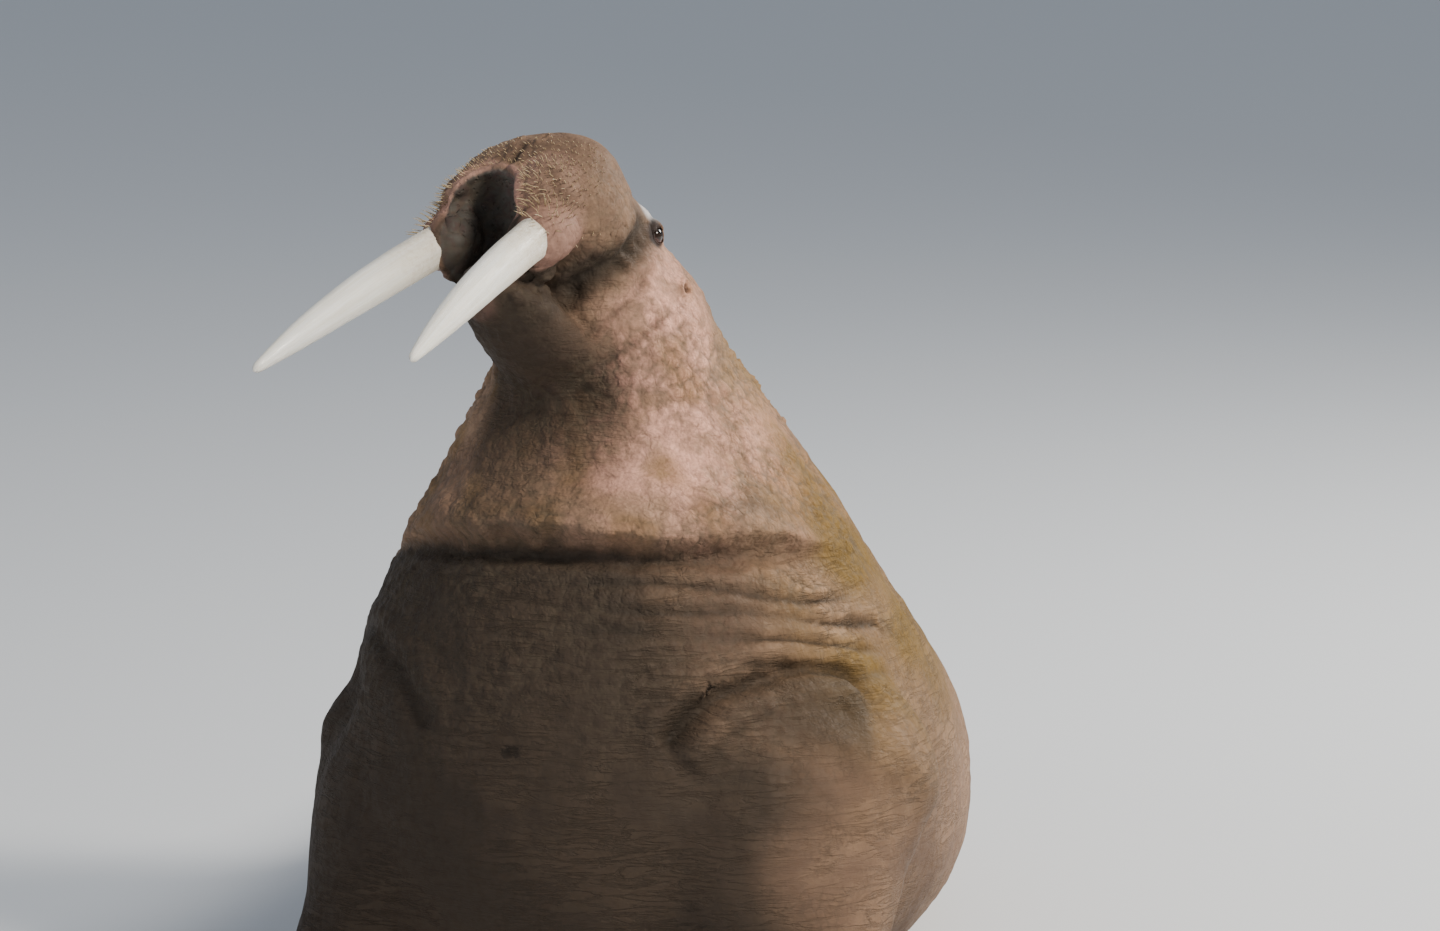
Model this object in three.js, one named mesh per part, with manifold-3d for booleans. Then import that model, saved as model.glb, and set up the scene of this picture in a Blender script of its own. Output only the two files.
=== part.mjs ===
// A bull walrus hauled out on its belly, the front of its body raised, its head thrown back and turned to
// its right, with the mouth open between the tusks. Millimetres. The trunk faces -Y, +X is the animal's left
// and +Z is up. The floor is at zero, and the origin is below the middle of the whole animal.
import * as THREE from "three";
import { mergeVertices } from "three/addons/utils/BufferGeometryUtils.js";
import Module from "manifold-3d";

const wasm = await Module();
wasm.setup();

// The gap between pieces that touch.
const GAP = 0.3;
const LEFT = 1;
const RIGHT = -1;

// Skin colours, as seen in daylight.
const HIDE = new THREE.MeshStandardMaterial({ color: 0x9a7a62, roughness: 0.85, metalness: 0 });
const PAD_HIDE = new THREE.MeshStandardMaterial({ color: 0xa5826b, roughness: 0.8, metalness: 0 });
const GUM = new THREE.MeshStandardMaterial({ color: 0x7a3f3c, roughness: 0.5, metalness: 0 });
const IVORY = new THREE.MeshStandardMaterial({ color: 0xeee6d2, roughness: 0.4, metalness: 0 });
const EYE_BLACK = new THREE.MeshStandardMaterial({ color: 0x1c130e, roughness: 0.1, metalness: 0 });
const CLAW_HORN = new THREE.MeshStandardMaterial({ color: 0x4b3b30, roughness: 0.5, metalness: 0 });

// Where the head joins the neck, and how the head is held: nose up, turned to the right, a little rolled.
const HEAD_AT = new THREE.Vector3(-54, -59, 1244);
const HEAD_PITCH = 58.4;
const HEAD_YAW = 25.8;
const HEAD_ROLL = 14.9;

const rad = THREE.MathUtils.degToRad;

// Turn of a cross-section that faces forward and up by pitch, and to the animal's right by yaw.
function turnOf(pitch, yaw = 0, roll = 0) {
  const euler = new THREE.Euler(-rad(pitch), -rad(roll), -rad(yaw), "ZXY");
  return new THREE.Quaternion().setFromEuler(euler);
}

const HEAD_TURN = turnOf(HEAD_PITCH, HEAD_YAW, HEAD_ROLL);

// Key cross-sections of the trunk and neck from the rump forward: [y, z] of the lowest and highest point in
// the side view, half the width, how far the middle is off to the animal's left, the share of the height
// where it is widest, and how square it is above and below.
const TRUNK = [
  { low: [1790, 70], high: [1812, 190], half: 70, aside: 0, widest: 0.5, over: 2, under: 2 },
  { low: [1715, -10], high: [1765, 320], half: 170, aside: 0, widest: 0.45, over: 2, under: 2.2 },
  { low: [1560, -45], high: [1625, 450], half: 265, aside: 0, widest: 0.42, over: 2, under: 2.3 },
  { low: [1300, -55], high: [1390, 565], half: 362, aside: 0, widest: 0.42, over: 2, under: 2.4 },
  { low: [980, -60], high: [1100, 650], half: 440, aside: 0, widest: 0.42, over: 2, under: 2.4 },
  { low: [600, -60], high: [830, 715], half: 490, aside: 0, widest: 0.42, over: 2, under: 2.4 },
  { low: [220, -60], high: [590, 795], half: 520, aside: 0, widest: 0.43, over: 2, under: 2.4 },
  { low: [-150, -55], high: [440, 885], half: 552, aside: -12, widest: 0.46, over: 2, under: 2.3 },
  { low: [-420, 60], high: [350, 980], half: 540, aside: -26, widest: 0.48, over: 2, under: 2.2 },
  { low: [-520, 290], high: [300, 1066], half: 478, aside: -32, widest: 0.5, over: 2, under: 2.1 },
  { low: [-500, 520], high: [255, 1138], half: 399, aside: -35, widest: 0.5, over: 2, under: 2.1 },
  { low: [-425, 735], high: [212, 1198], half: 328, aside: -38, widest: 0.5, over: 2, under: 2.1 },
  { low: [-360, 900], high: [172, 1250], half: 270, aside: -40, widest: 0.5, over: 2, under: 2.1 },
  { low: [-295, 1030], high: [138, 1288], half: 230, aside: -44, widest: 0.5, over: 2.1, under: 2.1 },
];

// The hind part of the trunk lies curved to the animal's right: where the arc starts, and its radius.
const BEND = { from: 0, radius: 2100 };

// Key cross-sections of the head in its own frame, from the neck forward: how far ahead of the neck joint,
// half the width, and the rise of the crown above and the fall of the upper jaw below the line of the eyes.
const HEAD = [
  { ahead: -5, half: 214, up: 190, down: 216, over: 2.1, under: 2.1 },
  { ahead: 60, half: 186, up: 180, down: 192, over: 2.2, under: 2 },
  { ahead: 130, half: 160, up: 168, down: 156, over: 2.3, under: 1.9 },
  { ahead: 200, half: 156, up: 152, down: 126, over: 2.4, under: 1.9 },
  { ahead: 270, half: 168, up: 143, down: 116, over: 2.4, under: 2.3 },
  { ahead: 335, half: 164, up: 138, down: 108, over: 2.5, under: 2.5 },
  { ahead: 380, half: 132, up: 108, down: 84, over: 2.4, under: 2.3 },
  { ahead: 400, half: 66, up: 56, down: 48, over: 2, under: 2 },
];

// Where the skin is parted: a share of the way along the trunk's rows, or ahead of the neck joint.
const RUMP_JOINT = 3;
const CHEST_JOINT = 6;
const NECK_JOINT = 10;
const HEAD_JOINT = 10;

// Head pieces, in the head's frame: x to the left, y back, z to the crown.
const EYE = { at: [127, -134, 108], radius: 19 };
const EYE_MOUND = { at: [112, -132, 104], radii: [31, 44, 36] };
const LID = { radius: 20, thick: 5.5, open: 0.72 };
const EAR = { at: [184, -42, 66], radius: 13, thick: 6 };
const NOSTRIL = { at: [30, -378, 58], radii: [8, 16, 19], tilt: 25 };
const PAD = { at: [74, -326, -44], radii: [82, 80, 102] };
const MOUTH = { at: [0, -326, -138], radii: [71, 132, 92], tilt: -38 };
const JAW = [
  { ahead: -30, drop: 110, half: 122, up: 40, down: 84, over: 2, under: 2 },
  { ahead: 60, drop: 150, half: 116, up: 50, down: 76, over: 2, under: 2 },
  { ahead: 130, drop: 178, half: 104, up: 56, down: 60, over: 2.2, under: 1.9 },
  { ahead: 205, drop: 200, half: 91, up: 56, down: 45, over: 2.4, under: 1.8 },
  { ahead: 264, drop: 217, half: 73, up: 42, down: 35, over: 2.3, under: 1.9 },
  { ahead: 302, drop: 228, half: 42, up: 22, down: 24, over: 2, under: 2 },
];
const TROUGH = { at: [0, -240, -178], radii: [62, 76, 44], tilt: -28 };
// The lower lip bends round the front of the jaw: half the width of the bend, its ends and its front as
// [y, z], and how thick it is.
const LIP = { half: 70, ends: [-205, -158], front: [-306, -212], thick: 13 };
const TONGUE = { at: [0, -246, -202], radii: [44, 60, 24], tilt: -28 };

// The tusk: where it leaves the pad, its length from there, how it splays and leans forward, and how thick
// it is.
const TUSK = {
  exit: [106, -321, -139],
  length: 551,
  hidden: 80,
  splay: 7.6,
  lean: 12.4,
  bow: 14,
  deep: 39,
  wide: 33,
  tip: 0.2,
};

// Bristles on each whisker pad: rows from top to bottom, with fewer at the ends.
const BRISTLE = { rows: [6, 8, 9, 9, 8, 6], long: 35, thick: 2.2, sides: 3 };

// The upper arm swells out of the chest and narrows to the wrist: where each row is, and its half sizes.
const ARM = [
  { at: [250, -25, 482], wide: 275, thick: 212 },
  { at: [302, -120, 446], wide: 332, thick: 248 },
  { at: [348, -200, 342], wide: 292, thick: 216 },
  { at: [408, -260, 220], wide: 218, thick: 152 },
  { at: [456, -304, 122], wide: 158, thick: 96 },
  { at: [496, -344, 62], wide: 124, thick: 60 },
];
const THIGH = [
  { at: [90, 1480, 200], wide: 175, thick: 165 },
  { at: [180, 1530, 172], wide: 178, thick: 158 },
  { at: [255, 1566, 124], wide: 150, thick: 116 },
  { at: [318, 1588, 78], wide: 114, thick: 70 },
  { at: [362, 1598, 52], wide: 94, thick: 48 },
];

// The blades of the flippers: reach, half widths at wrist and tips, thickness there, and how far each digit
// reaches as a share of the whole, from the leading edge back.
const FORE_BLADE = {
  at: [457, -292, 0],
  heading: -40,
  reach: 450,
  halfWrist: 108,
  halfTip: 164,
  thickWrist: 92,
  thickTip: 30,
  ridge: 14,
  digits: [0.97, 1, 0.93, 0.83, 0.7],
  notch: 0.05,
  claw: { back: 52, radius: 7, long: 24 },
};
const HIND_BLADE = {
  at: [318, 1592, 0],
  heading: -20,
  reach: 410,
  halfWrist: 84,
  halfTip: 176,
  thickWrist: 72,
  thickTip: 24,
  ridge: 12,
  digits: [1, 0.9, 0.85, 0.88, 0.97],
  notch: 0.09,
  claw: { back: 62, radius: 6, long: 32 },
};
const TAIL = { at: [0, 1792, 118], radii: [46, 74, 20] };

const TRUNK_RINGS = 27;
const HEAD_RINGS = 16;
const AROUND = 36;

const vec = (x, y, z) => new THREE.Vector3(x, y, z);
const moved = (x, y, z) => new THREE.Matrix4().makeTranslation(x, y, z);

// How far the arc of the trunk has turned at y of the straight animal.
const bendAt = (y) => Math.max(0, y - BEND.from) / BEND.radius;

// Moves what stands at y of the straight animal to its place on the arc.
function alongBend(y) {
  const angle = bendAt(y);
  const aside = -BEND.radius * (1 - Math.cos(angle));
  const back = Math.min(y, BEND.from) + BEND.radius * Math.sin(angle);
  const turn = new THREE.Matrix4().makeRotationZ(angle);
  return new THREE.Matrix4().makeTranslation(aside, back, 0).multiply(turn).multiply(moved(0, -y, 0));
}

// A cross-section of the trunk, from its row above.
function trunkRing({ low, high, half, aside, widest, over, under }) {
  const rise = Math.hypot(high[0] - low[0], high[1] - low[1]);
  const pitch = THREE.MathUtils.radToDeg(Math.atan2(high[0] - low[0], high[1] - low[1]));
  const straight = vec(aside, low[0], low[1]).lerp(vec(aside, high[0], high[1]), widest);
  const yaw = -THREE.MathUtils.radToDeg(bendAt(straight.y));
  const at = straight.clone().applyMatrix4(alongBend(straight.y));
  return { at, turn: turnOf(pitch, yaw), half, up: rise * (1 - widest), down: rise * widest, over, under };
}

// A point given in the head's frame, in the frame of the whole animal.
function fromHead(x, y, z) {
  return vec(x, y, z).applyQuaternion(HEAD_TURN).add(HEAD_AT);
}

function headRing({ ahead, drop = 0, ...sizes }) {
  return { at: fromHead(0, -ahead, -drop), turn: HEAD_TURN, ...sizes };
}

// Smooth cross-sections between the key ones, evenly spaced along the rows.
function between(keys, count) {
  const track = (pick) => new THREE.CatmullRomCurve3(keys.map(pick), false, "catmullrom", 0.5);
  const places = track((k) => k.at);
  const sizes = track((k) => vec(k.half, k.up, k.down));
  const bulges = track((k) => vec(k.over, k.under, 0));
  return Array.from({ length: count }, (_, i) => {
    const share = i / (count - 1);
    const step = Math.min(Math.floor(share * (keys.length - 1)), keys.length - 2);
    const part = share * (keys.length - 1) - step;
    const size = sizes.getPoint(share);
    const bulge = bulges.getPoint(share);
    return {
      at: places.getPoint(share),
      turn: keys[step].turn.clone().slerp(keys[step + 1].turn, part),
      half: size.x,
      up: size.y,
      down: size.z,
      over: bulge.x,
      under: bulge.y,
    };
  });
}

// A point on a cross-section's edge; grow moves the edge outwards.
function edgePoint(ring, angle, grow) {
  const across = Math.cos(angle);
  const rise = Math.sin(angle);
  const power = 2 / (rise > 0 ? ring.over : ring.under);
  const x = Math.sign(across) * Math.abs(across) ** power * (ring.half + grow);
  const z = Math.sign(rise) * Math.abs(rise) ** power * ((rise > 0 ? ring.up : ring.down) + grow);
  return vec(x, 0, z).applyQuaternion(ring.turn).add(ring.at);
}

function loopOf(ring, around, grow) {
  return Array.from({ length: around }, (_, i) => edgePoint(ring, (i / around) * 2 * Math.PI, grow));
}

const middleOf = (row) => row.reduce((sum, p) => sum.add(p), vec(0, 0, 0)).divideScalar(row.length);

// A closed surface over rows of points, each row a loop, with both ends closed by a fan. The ends move out
// by grow.
function closedSurface(rows, grow = 0) {
  const count = rows[0].length;
  const endOut = (end, inner) => {
    const out = middleOf(end).sub(middleOf(inner)).setLength(grow);
    end.forEach((p) => p.add(out));
  };
  endOut(rows[0], rows[1]);
  endOut(rows[rows.length - 1], rows[rows.length - 2]);
  const points = rows.flat();
  const faces = [];
  for (let r = 0; r < rows.length - 1; r++) {
    for (let i = 0; i < count; i++) {
      const a = r * count + i;
      const b = r * count + ((i + 1) % count);
      faces.push(a, b, b + count, a, b + count, a + count);
    }
  }
  const last = (rows.length - 1) * count;
  points.push(middleOf(rows[0]), middleOf(rows[rows.length - 1]));
  for (let i = 0; i < count; i++) {
    const next = (i + 1) % count;
    faces.push(next, i, points.length - 2);
    faces.push(last + i, last + next, points.length - 1);
  }
  const shape = new THREE.BufferGeometry().setFromPoints(points);
  shape.setIndex(faces);
  return shape;
}

// The same faces turned round.
function turnedRound(triangles) {
  const turned = new Uint32Array(triangles);
  for (let i = 0; i < turned.length; i += 3) {
    [turned[i + 1], turned[i + 2]] = [turned[i + 2], turned[i + 1]];
  }
  return turned;
}

// A geometry as a solid that can be joined and cut.
function solidOf(geometry) {
  const bare = geometry.clone();
  bare.deleteAttribute("normal");
  bare.deleteAttribute("uv");
  const merged = mergeVertices(bare, 1e-3);
  const vertProperties = new Float32Array(merged.attributes.position.array);
  const triVerts = new Uint32Array(merged.index.array);
  const made = new wasm.Manifold(new wasm.Mesh({ numProp: 3, vertProperties, triVerts }));
  if (made.volume() > 0) return made;
  return new wasm.Manifold(new wasm.Mesh({ numProp: 3, vertProperties, triVerts: turnedRound(triVerts) }));
}

const join = (solids) => wasm.Manifold.union(solids);
const aboveFloor = (solid) => solid.trimByPlane([0, 0, 1], 0);

// The largest closed surface of a solid, as a named mesh.
function meshOf(name, solid, material) {
  const whole = solid.decompose().reduce((a, b) => (a.volume() > b.volume() ? a : b));
  const made = whole.getMesh();
  const spots = new Float32Array(made.numVert * 3);
  for (let i = 0; i < made.numVert; i++) {
    spots.set(made.vertProperties.subarray(i * made.numProp, i * made.numProp + 3), i * 3);
  }
  const geometry = new THREE.BufferGeometry();
  geometry.setAttribute("position", new THREE.BufferAttribute(spots, 3));
  geometry.setIndex(new THREE.BufferAttribute(made.triVerts, 1));
  geometry.computeVertexNormals();
  const mesh = new THREE.Mesh(geometry, material);
  mesh.name = name;
  return mesh;
}

// Places a geometry that was made in the head's frame; side mirrors it to the animal's right.
function inHead(geometry, side = LEFT) {
  const mirror = new THREE.Matrix4().makeScale(side, 1, 1);
  const place = new THREE.Matrix4().compose(HEAD_AT, HEAD_TURN, vec(1, 1, 1));
  return solidOf(geometry.clone().applyMatrix4(place.multiply(mirror)));
}

// A ball stretched to its half sizes, placed and turned about the x axis.
function ball({ at, radii, tilt = 0 }, grow = 0, columns = 20, rows = 12) {
  const geometry = new THREE.SphereGeometry(1, columns, rows);
  geometry.scale(radii[0] + grow, radii[1] + grow, radii[2] + grow);
  geometry.rotateX(rad(tilt));
  return geometry.translate(...at);
}

// Trunk, neck and head as one skin, which the joints part into pieces.
function bodySkin(grow) {
  const trunk = between([...TRUNK.map(trunkRing), headRing(HEAD[0])], TRUNK_RINGS);
  const head = between(HEAD.map(headRing), HEAD_RINGS).slice(1);
  return solidOf(closedSurface([...trunk, ...head].map((ring) => loopOf(ring, AROUND, grow)), grow));
}

// A plane across the trunk at a row, as a normal that faces forward and its distance from the origin.
function trunkPlane(row) {
  const ring = trunkRing(TRUNK[row]);
  const normal = vec(0, -1, 0).applyQuaternion(ring.turn);
  return { normal, offset: normal.dot(ring.at) };
}

function headPlane(ahead) {
  const normal = vec(0, -1, 0).applyQuaternion(HEAD_TURN);
  return { normal, offset: normal.dot(fromHead(0, -ahead, 0)) };
}

const aheadOf = (solid, { normal, offset }) => solid.trimByPlane(normal.toArray(), offset + GAP / 2);
const behind = (solid, { normal, offset }) =>
  solid.trimByPlane(normal.clone().negate().toArray(), GAP / 2 - offset);

// A round bar along its rows: sections across the line through them, wide level with the floor.
function barShape(keys, side, grow, around, count) {
  const line = new THREE.CatmullRomCurve3(keys.map(({ at }) => vec(at[0] * side, at[1], at[2])));
  const sizes = new THREE.CatmullRomCurve3(
    keys.map(({ wide, thick }) => vec(wide, thick, 0)),
    false,
    "catmullrom",
    0.5,
  );
  const rows = Array.from({ length: count }, (_, i) => {
    const share = i / (count - 1);
    const along = line.getTangent(share);
    const flat = vec(along.y, -along.x, 0).normalize();
    const up = new THREE.Vector3().crossVectors(flat, along);
    const size = sizes.getPoint(share);
    const middle = line.getPoint(share);
    return Array.from({ length: around }, (_, k) => {
      const angle = (k / around) * 2 * Math.PI;
      return middle
        .clone()
        .addScaledVector(flat, Math.cos(angle) * (size.x + grow))
        .addScaledVector(up, Math.sin(angle) * (size.y + grow));
    });
  });
  return closedSurface(rows, grow);
}

const limb = (keys, side, grow, y) => solidOf(barShape(keys, side, grow, 18, 8).applyMatrix4(alongBend(y)));

// The lower lip, in the head's frame.
function lipShape(grow) {
  const { half, ends, front, thick } = LIP;
  const keys = Array.from({ length: 7 }, (_, i) => {
    const swing = (i / 6) * Math.PI;
    const bend = Math.sin(swing);
    const y = THREE.MathUtils.lerp(ends[0], front[0], bend);
    const z = THREE.MathUtils.lerp(ends[1], front[1], bend);
    return { at: [-half * Math.cos(swing), y, z], wide: thick, thick };
  });
  return barShape(keys, LEFT, grow, 8, 11);
}

// How far the blade reaches at a place across it, from -1 at the leading edge to 1: a lobe for each digit.
function bladeReach(blade, across) {
  const place = ((across + 1) / 2) * (blade.digits.length - 1);
  const step = Math.min(Math.floor(place), blade.digits.length - 2);
  const straight = THREE.MathUtils.lerp(blade.digits[step], blade.digits[step + 1], place - step);
  const corner = 0.13 * Math.abs(across) ** 9;
  return straight - corner - blade.notch * Math.sin(Math.PI * (place - step)) ** 2;
}

// The top of the blade: thick over each digit and thinner in the web between.
function bladeTop(blade, along, across) {
  const place = ((across + 1) / 2) * (blade.digits.length - 1);
  const body = THREE.MathUtils.lerp(blade.thickWrist, blade.thickTip, along ** 0.6);
  const round = Math.sqrt(Math.max(0, 1 - 0.86 * across ** 4));
  const rise = Math.sin(Math.PI * Math.min(1, along * 1.15)) ** 0.8;
  const ridge = blade.ridge * rise * Math.cos(Math.PI * place) ** 2;
  const end = 1 - 0.45 * along ** 8;
  return (body + ridge) * round * end;
}

function bladePoint(blade, along, across) {
  const half = THREE.MathUtils.lerp(blade.halfWrist, blade.halfTip, along ** 0.75);
  return vec(along * blade.reach * bladeReach(blade, across), -across * half, 0);
}

// A flipper's blade lying on the floor, in its own frame: x to the tips, y across, z up.
function bladeShape(blade, grow) {
  const topCount = 21;
  const underCount = 5;
  const rowCount = 8;
  const rows = Array.from({ length: rowCount }, (_, r) => {
    const along = r / (rowCount - 1);
    const top = Array.from({ length: topCount }, (_, i) => {
      const across = (i / (topCount - 1)) * 2 - 1;
      return bladePoint(blade, along, across).setZ(bladeTop(blade, along, across) + grow);
    });
    const under = Array.from({ length: underCount }, (_, i) => {
      const across = 1 - (i / (underCount - 1)) * 2;
      return bladePoint(blade, along, across * 0.985).setZ(0);
    });
    return [...top, ...under];
  });
  return closedSurface(rows, grow);
}

// Turns and moves a piece from a blade's frame to its place; side mirrors it to the animal's right.
function bladePlace(blade, side) {
  const mirror = new THREE.Matrix4().makeScale(side, 1, 1);
  const turn = new THREE.Matrix4().makeRotationZ(rad(blade.heading));
  return alongBend(blade.at[1]).multiply(mirror).multiply(moved(...blade.at)).multiply(turn);
}

// A claw on the upper side of a digit, near its tip.
function clawShape(blade, digit) {
  const { back, radius, long } = blade.claw;
  const across = (digit / (blade.digits.length - 1)) * 2 - 1;
  const inner = across * 0.93;
  const tip = blade.reach * bladeReach(blade, inner);
  const along = 1 - back / tip;
  const spot = bladePoint(blade, along, inner);
  const ahead = bladePoint(blade, 1, inner).sub(spot);
  const claw = new THREE.ConeGeometry(radius, long, 7, 1);
  claw.rotateZ(-Math.PI / 2).rotateY(rad(6)).rotateZ(Math.atan2(ahead.y, ahead.x));
  return claw.translate(spot.x, spot.y, bladeTop(blade, along, inner) + radius * 0.2);
}

function tuskShape(grow) {
  const { exit, length, hidden, splay, lean, bow, deep, wide, tip } = TUSK;
  const along = vec(Math.sin(rad(splay)), -Math.sin(rad(lean)), -Math.cos(rad(lean))).normalize();
  const start = vec(...exit).addScaledVector(along, -hidden);
  const end = vec(...exit).addScaledVector(along, length);
  const middle = start.clone().lerp(end, 0.5).add(vec(0, -bow * 2, 0));
  const line = new THREE.QuadraticBezierCurve3(start, middle, end);
  const rowCount = 13;
  const around = 12;
  const rows = Array.from({ length: rowCount }, (_, r) => {
    const share = r / (rowCount - 1);
    const tangent = line.getTangent(share);
    const side = vec(1, 0, 0).addScaledVector(tangent, -tangent.x).normalize();
    const front = new THREE.Vector3().crossVectors(tangent, side);
    const size = 1 - (1 - tip) * share ** 3.2;
    return Array.from({ length: around }, (_, k) => {
      const angle = (k / around) * 2 * Math.PI;
      return line
        .getPoint(share)
        .addScaledVector(side, Math.cos(angle) * (wide * size + grow))
        .addScaledVector(front, Math.sin(angle) * (deep * size + grow));
    });
  });
  return closedSurface(rows, grow);
}

// One bristle: a thin, bent, tapered spine from a point on the pad outwards.
function bristleShape(foot, outward, long) {
  const droop = vec(0, 0.05, -0.35);
  const rows = [-0.16, 0.5, 1].map((share) => {
    const middle = foot
      .clone()
      .addScaledVector(outward, share * long)
      .addScaledVector(droop, share * share * long);
    const size = BRISTLE.thick * (1 - 0.75 * Math.max(0, share));
    const side = new THREE.Vector3().crossVectors(outward, vec(0, 0, 1)).normalize();
    const up = new THREE.Vector3().crossVectors(side, outward);
    return Array.from({ length: BRISTLE.sides }, (_, k) => {
      const angle = (k / BRISTLE.sides) * 2 * Math.PI;
      return middle
        .clone()
        .addScaledVector(side, Math.cos(angle) * size)
        .addScaledVector(up, Math.sin(angle) * size);
    });
  });
  return closedSurface(rows);
}

// Bristles in rows over the front and lower side of a pad.
function bristles() {
  const made = [];
  BRISTLE.rows.forEach((count, row) => {
    const rise = THREE.MathUtils.lerp(38, -52, row / (BRISTLE.rows.length - 1));
    for (let i = 0; i < count; i++) {
      const swing = THREE.MathUtils.lerp(-42, 88, (i + 0.5 * (row % 2)) / (count - 0.5));
      const outward = vec(
        Math.cos(rad(rise)) * Math.sin(rad(swing)),
        -Math.cos(rad(rise)) * Math.cos(rad(swing)),
        Math.sin(rad(rise)),
      );
      const foot = outward.clone().multiply(vec(...PAD.radii)).add(vec(...PAD.at));
      const lean = outward.clone().add(vec(0.25, 0.1, -0.75)).normalize();
      const long = BRISTLE.long * (0.75 + 0.25 * Math.sin((Math.PI * (i + 1)) / (count + 1)));
      made.push(bristleShape(foot, lean, long));
    }
  });
  return made;
}

const skin = bodySkin(0);
const clearOfSkin = bodySkin(GAP);
const root = new THREE.Group();
const add = (name, solid, material) => root.add(meshOf(name, solid, material));

// Limbs, each with its blade and claws.
const sides = [
  [LEFT, "left"],
  [RIGHT, "right"],
];
const limbs = [
  ["fore", "upper_arm", ARM, FORE_BLADE],
  ["hind", "hind_leg", THIGH, HIND_BLADE],
];
for (const [side, sideName] of sides) {
  for (const [limbName, rootName, rows, blade] of limbs) {
    const place = bladePlace(blade, side);
    const upper = limb(rows, side, 0, blade.at[1]);
    add(`${rootName}_${sideName}`, aboveFloor(upper.subtract(clearOfSkin)), HIDE);
    const bladeSolid = solidOf(bladeShape(blade, 0).applyMatrix4(place));
    const clear = join([limb(rows, side, GAP, blade.at[1]), clearOfSkin]);
    add(`${limbName}_flipper_${sideName}`, bladeSolid.subtract(clear), HIDE);
    const clearOfBlade = solidOf(bladeShape(blade, GAP).applyMatrix4(place));
    blade.digits.forEach((_, digit) => {
      const claw = solidOf(clawShape(blade, digit).applyMatrix4(place));
      add(`${limbName}_claw_${sideName}_${digit + 1}`, claw.subtract(clearOfBlade), CLAW_HORN);
    });
  }
}

// Trunk pieces, parted across its rows.
const floorSkin = aboveFloor(skin);
const rumpPlane = trunkPlane(RUMP_JOINT);
const chestPlane = trunkPlane(CHEST_JOINT);
const neckPlane = trunkPlane(NECK_JOINT);
const facePlane = headPlane(HEAD_JOINT);
add("rump", behind(floorSkin, rumpPlane), HIDE);
add("torso", behind(aheadOf(floorSkin, rumpPlane), chestPlane), HIDE);
add("chest", behind(aheadOf(floorSkin, chestPlane), neckPlane), HIDE);
add("neck", behind(aheadOf(floorSkin, neckPlane), facePlane), HIDE);
const tail = ball(TAIL, 0, 14, 8).applyMatrix4(alongBend(TAIL.at[1]));
add("tail", solidOf(tail).subtract(clearOfSkin), HIDE);

// Head: mounds and lids joined on, then cut by the mouth, nostrils and the pieces that sit in it.
const both = (make) => sides.map(([side]) => inHead(make(), side));
const lidShape = (grow) => {
  const ring = new THREE.TorusGeometry(LID.radius, LID.thick + grow, 6, 14);
  ring.scale(1, LID.open, 1).rotateY(Math.PI / 2).rotateX(rad(-12)).rotateZ(rad(8));
  return ring.translate(EYE.at[0] + 8, EYE.at[1], EYE.at[2]);
};
const earShape = (grow) => {
  const ring = new THREE.TorusGeometry(EAR.radius, EAR.thick + grow, 6, 10);
  return ring.scale(1, 1.3, 1).rotateY(Math.PI / 2).translate(...EAR.at);
};
const eyeShape = (grow) => ball({ at: EYE.at, radii: [EYE.radius, EYE.radius, EYE.radius] }, grow, 12, 8);
const brows = both(() => ball(EYE_MOUND, 0, 16, 10));
const face = join([aheadOf(skin, facePlane), ...brows, ...both(() => lidShape(0))]);
const jawSkin = (grow) =>
  solidOf(closedSurface(between(JAW.map(headRing), 10).map((ring) => loopOf(ring, 20, grow)), grow));
const mouthShape = (grow) => ball(MOUTH, grow, 20, 14);
const hollows = join([
  inHead(mouthShape(0)),
  ...both(() => ball(NOSTRIL, 0, 10, 8)),
  ...both(() => eyeShape(GAP)),
  ...both(() => earShape(GAP)),
  ...both(() => ball(PAD, GAP, 20, 14)),
  ...both(() => tuskShape(GAP)),
]);
add("head", face.subtract(hollows), HIDE);
const clearOfFace = join([clearOfSkin, ...both(() => ball(PAD, GAP, 20, 14)), ...both(() => tuskShape(GAP))]);
const trough = (grow) => inHead(ball(TROUGH, grow, 18, 12));
const jaw = (grow) => join([jawSkin(grow), inHead(lipShape(grow))]).subtract(trough(-grow));
const insideMouth = join([inHead(mouthShape(-GAP)), trough(-GAP)]);
add("lower_jaw", jaw(0).subtract(clearOfFace), HIDE);
add("tongue", inHead(ball(TONGUE, 0, 16, 10)).intersect(insideMouth).subtract(jaw(GAP)), GUM);
for (const [side, sideName] of sides) {
  const tusk = inHead(tuskShape(0), side);
  const cushion = inHead(ball(PAD, 0, 20, 14), side);
  const spines = join(bristles().map((one) => inHead(one, side)));
  const pad = join([cushion, spines.subtract(clearOfSkin.subtract(cushion))]);
  const midline = side === LEFT ? [1, 0, 0] : [-1, 0, 0];
  const across = vec(...midline).applyQuaternion(HEAD_TURN);
  const ownSide = pad.trimByPlane(across.toArray(), across.dot(HEAD_AT) + GAP / 2);
  const clearOfPad = join([inHead(tuskShape(GAP), side), inHead(mouthShape(0))]);
  add(`whisker_pad_${sideName}`, ownSide.subtract(clearOfPad), PAD_HIDE);
  add(`tusk_${sideName}`, tusk, IVORY);
  add(`eye_${sideName}`, inHead(eyeShape(0), side), EYE_BLACK);
  add(`ear_${sideName}`, inHead(earShape(0), side), HIDE);
}

// The origin goes to the floor below the middle of the whole animal.
const box = new THREE.Box3().setFromObject(root);
const centre = box.getCenter(vec(0, 0, 0));
root.position.set(-centre.x, -centre.y, -box.min.z);
export default root;
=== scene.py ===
# %% [markdown]
# # A life-size bull walrus
# The animal rests on its belly with its chest raised and its head thrown back. Every piece here is made in
# metres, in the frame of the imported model, so that nothing has to be fitted afterwards.

# %% Load the frame
import math

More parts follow.
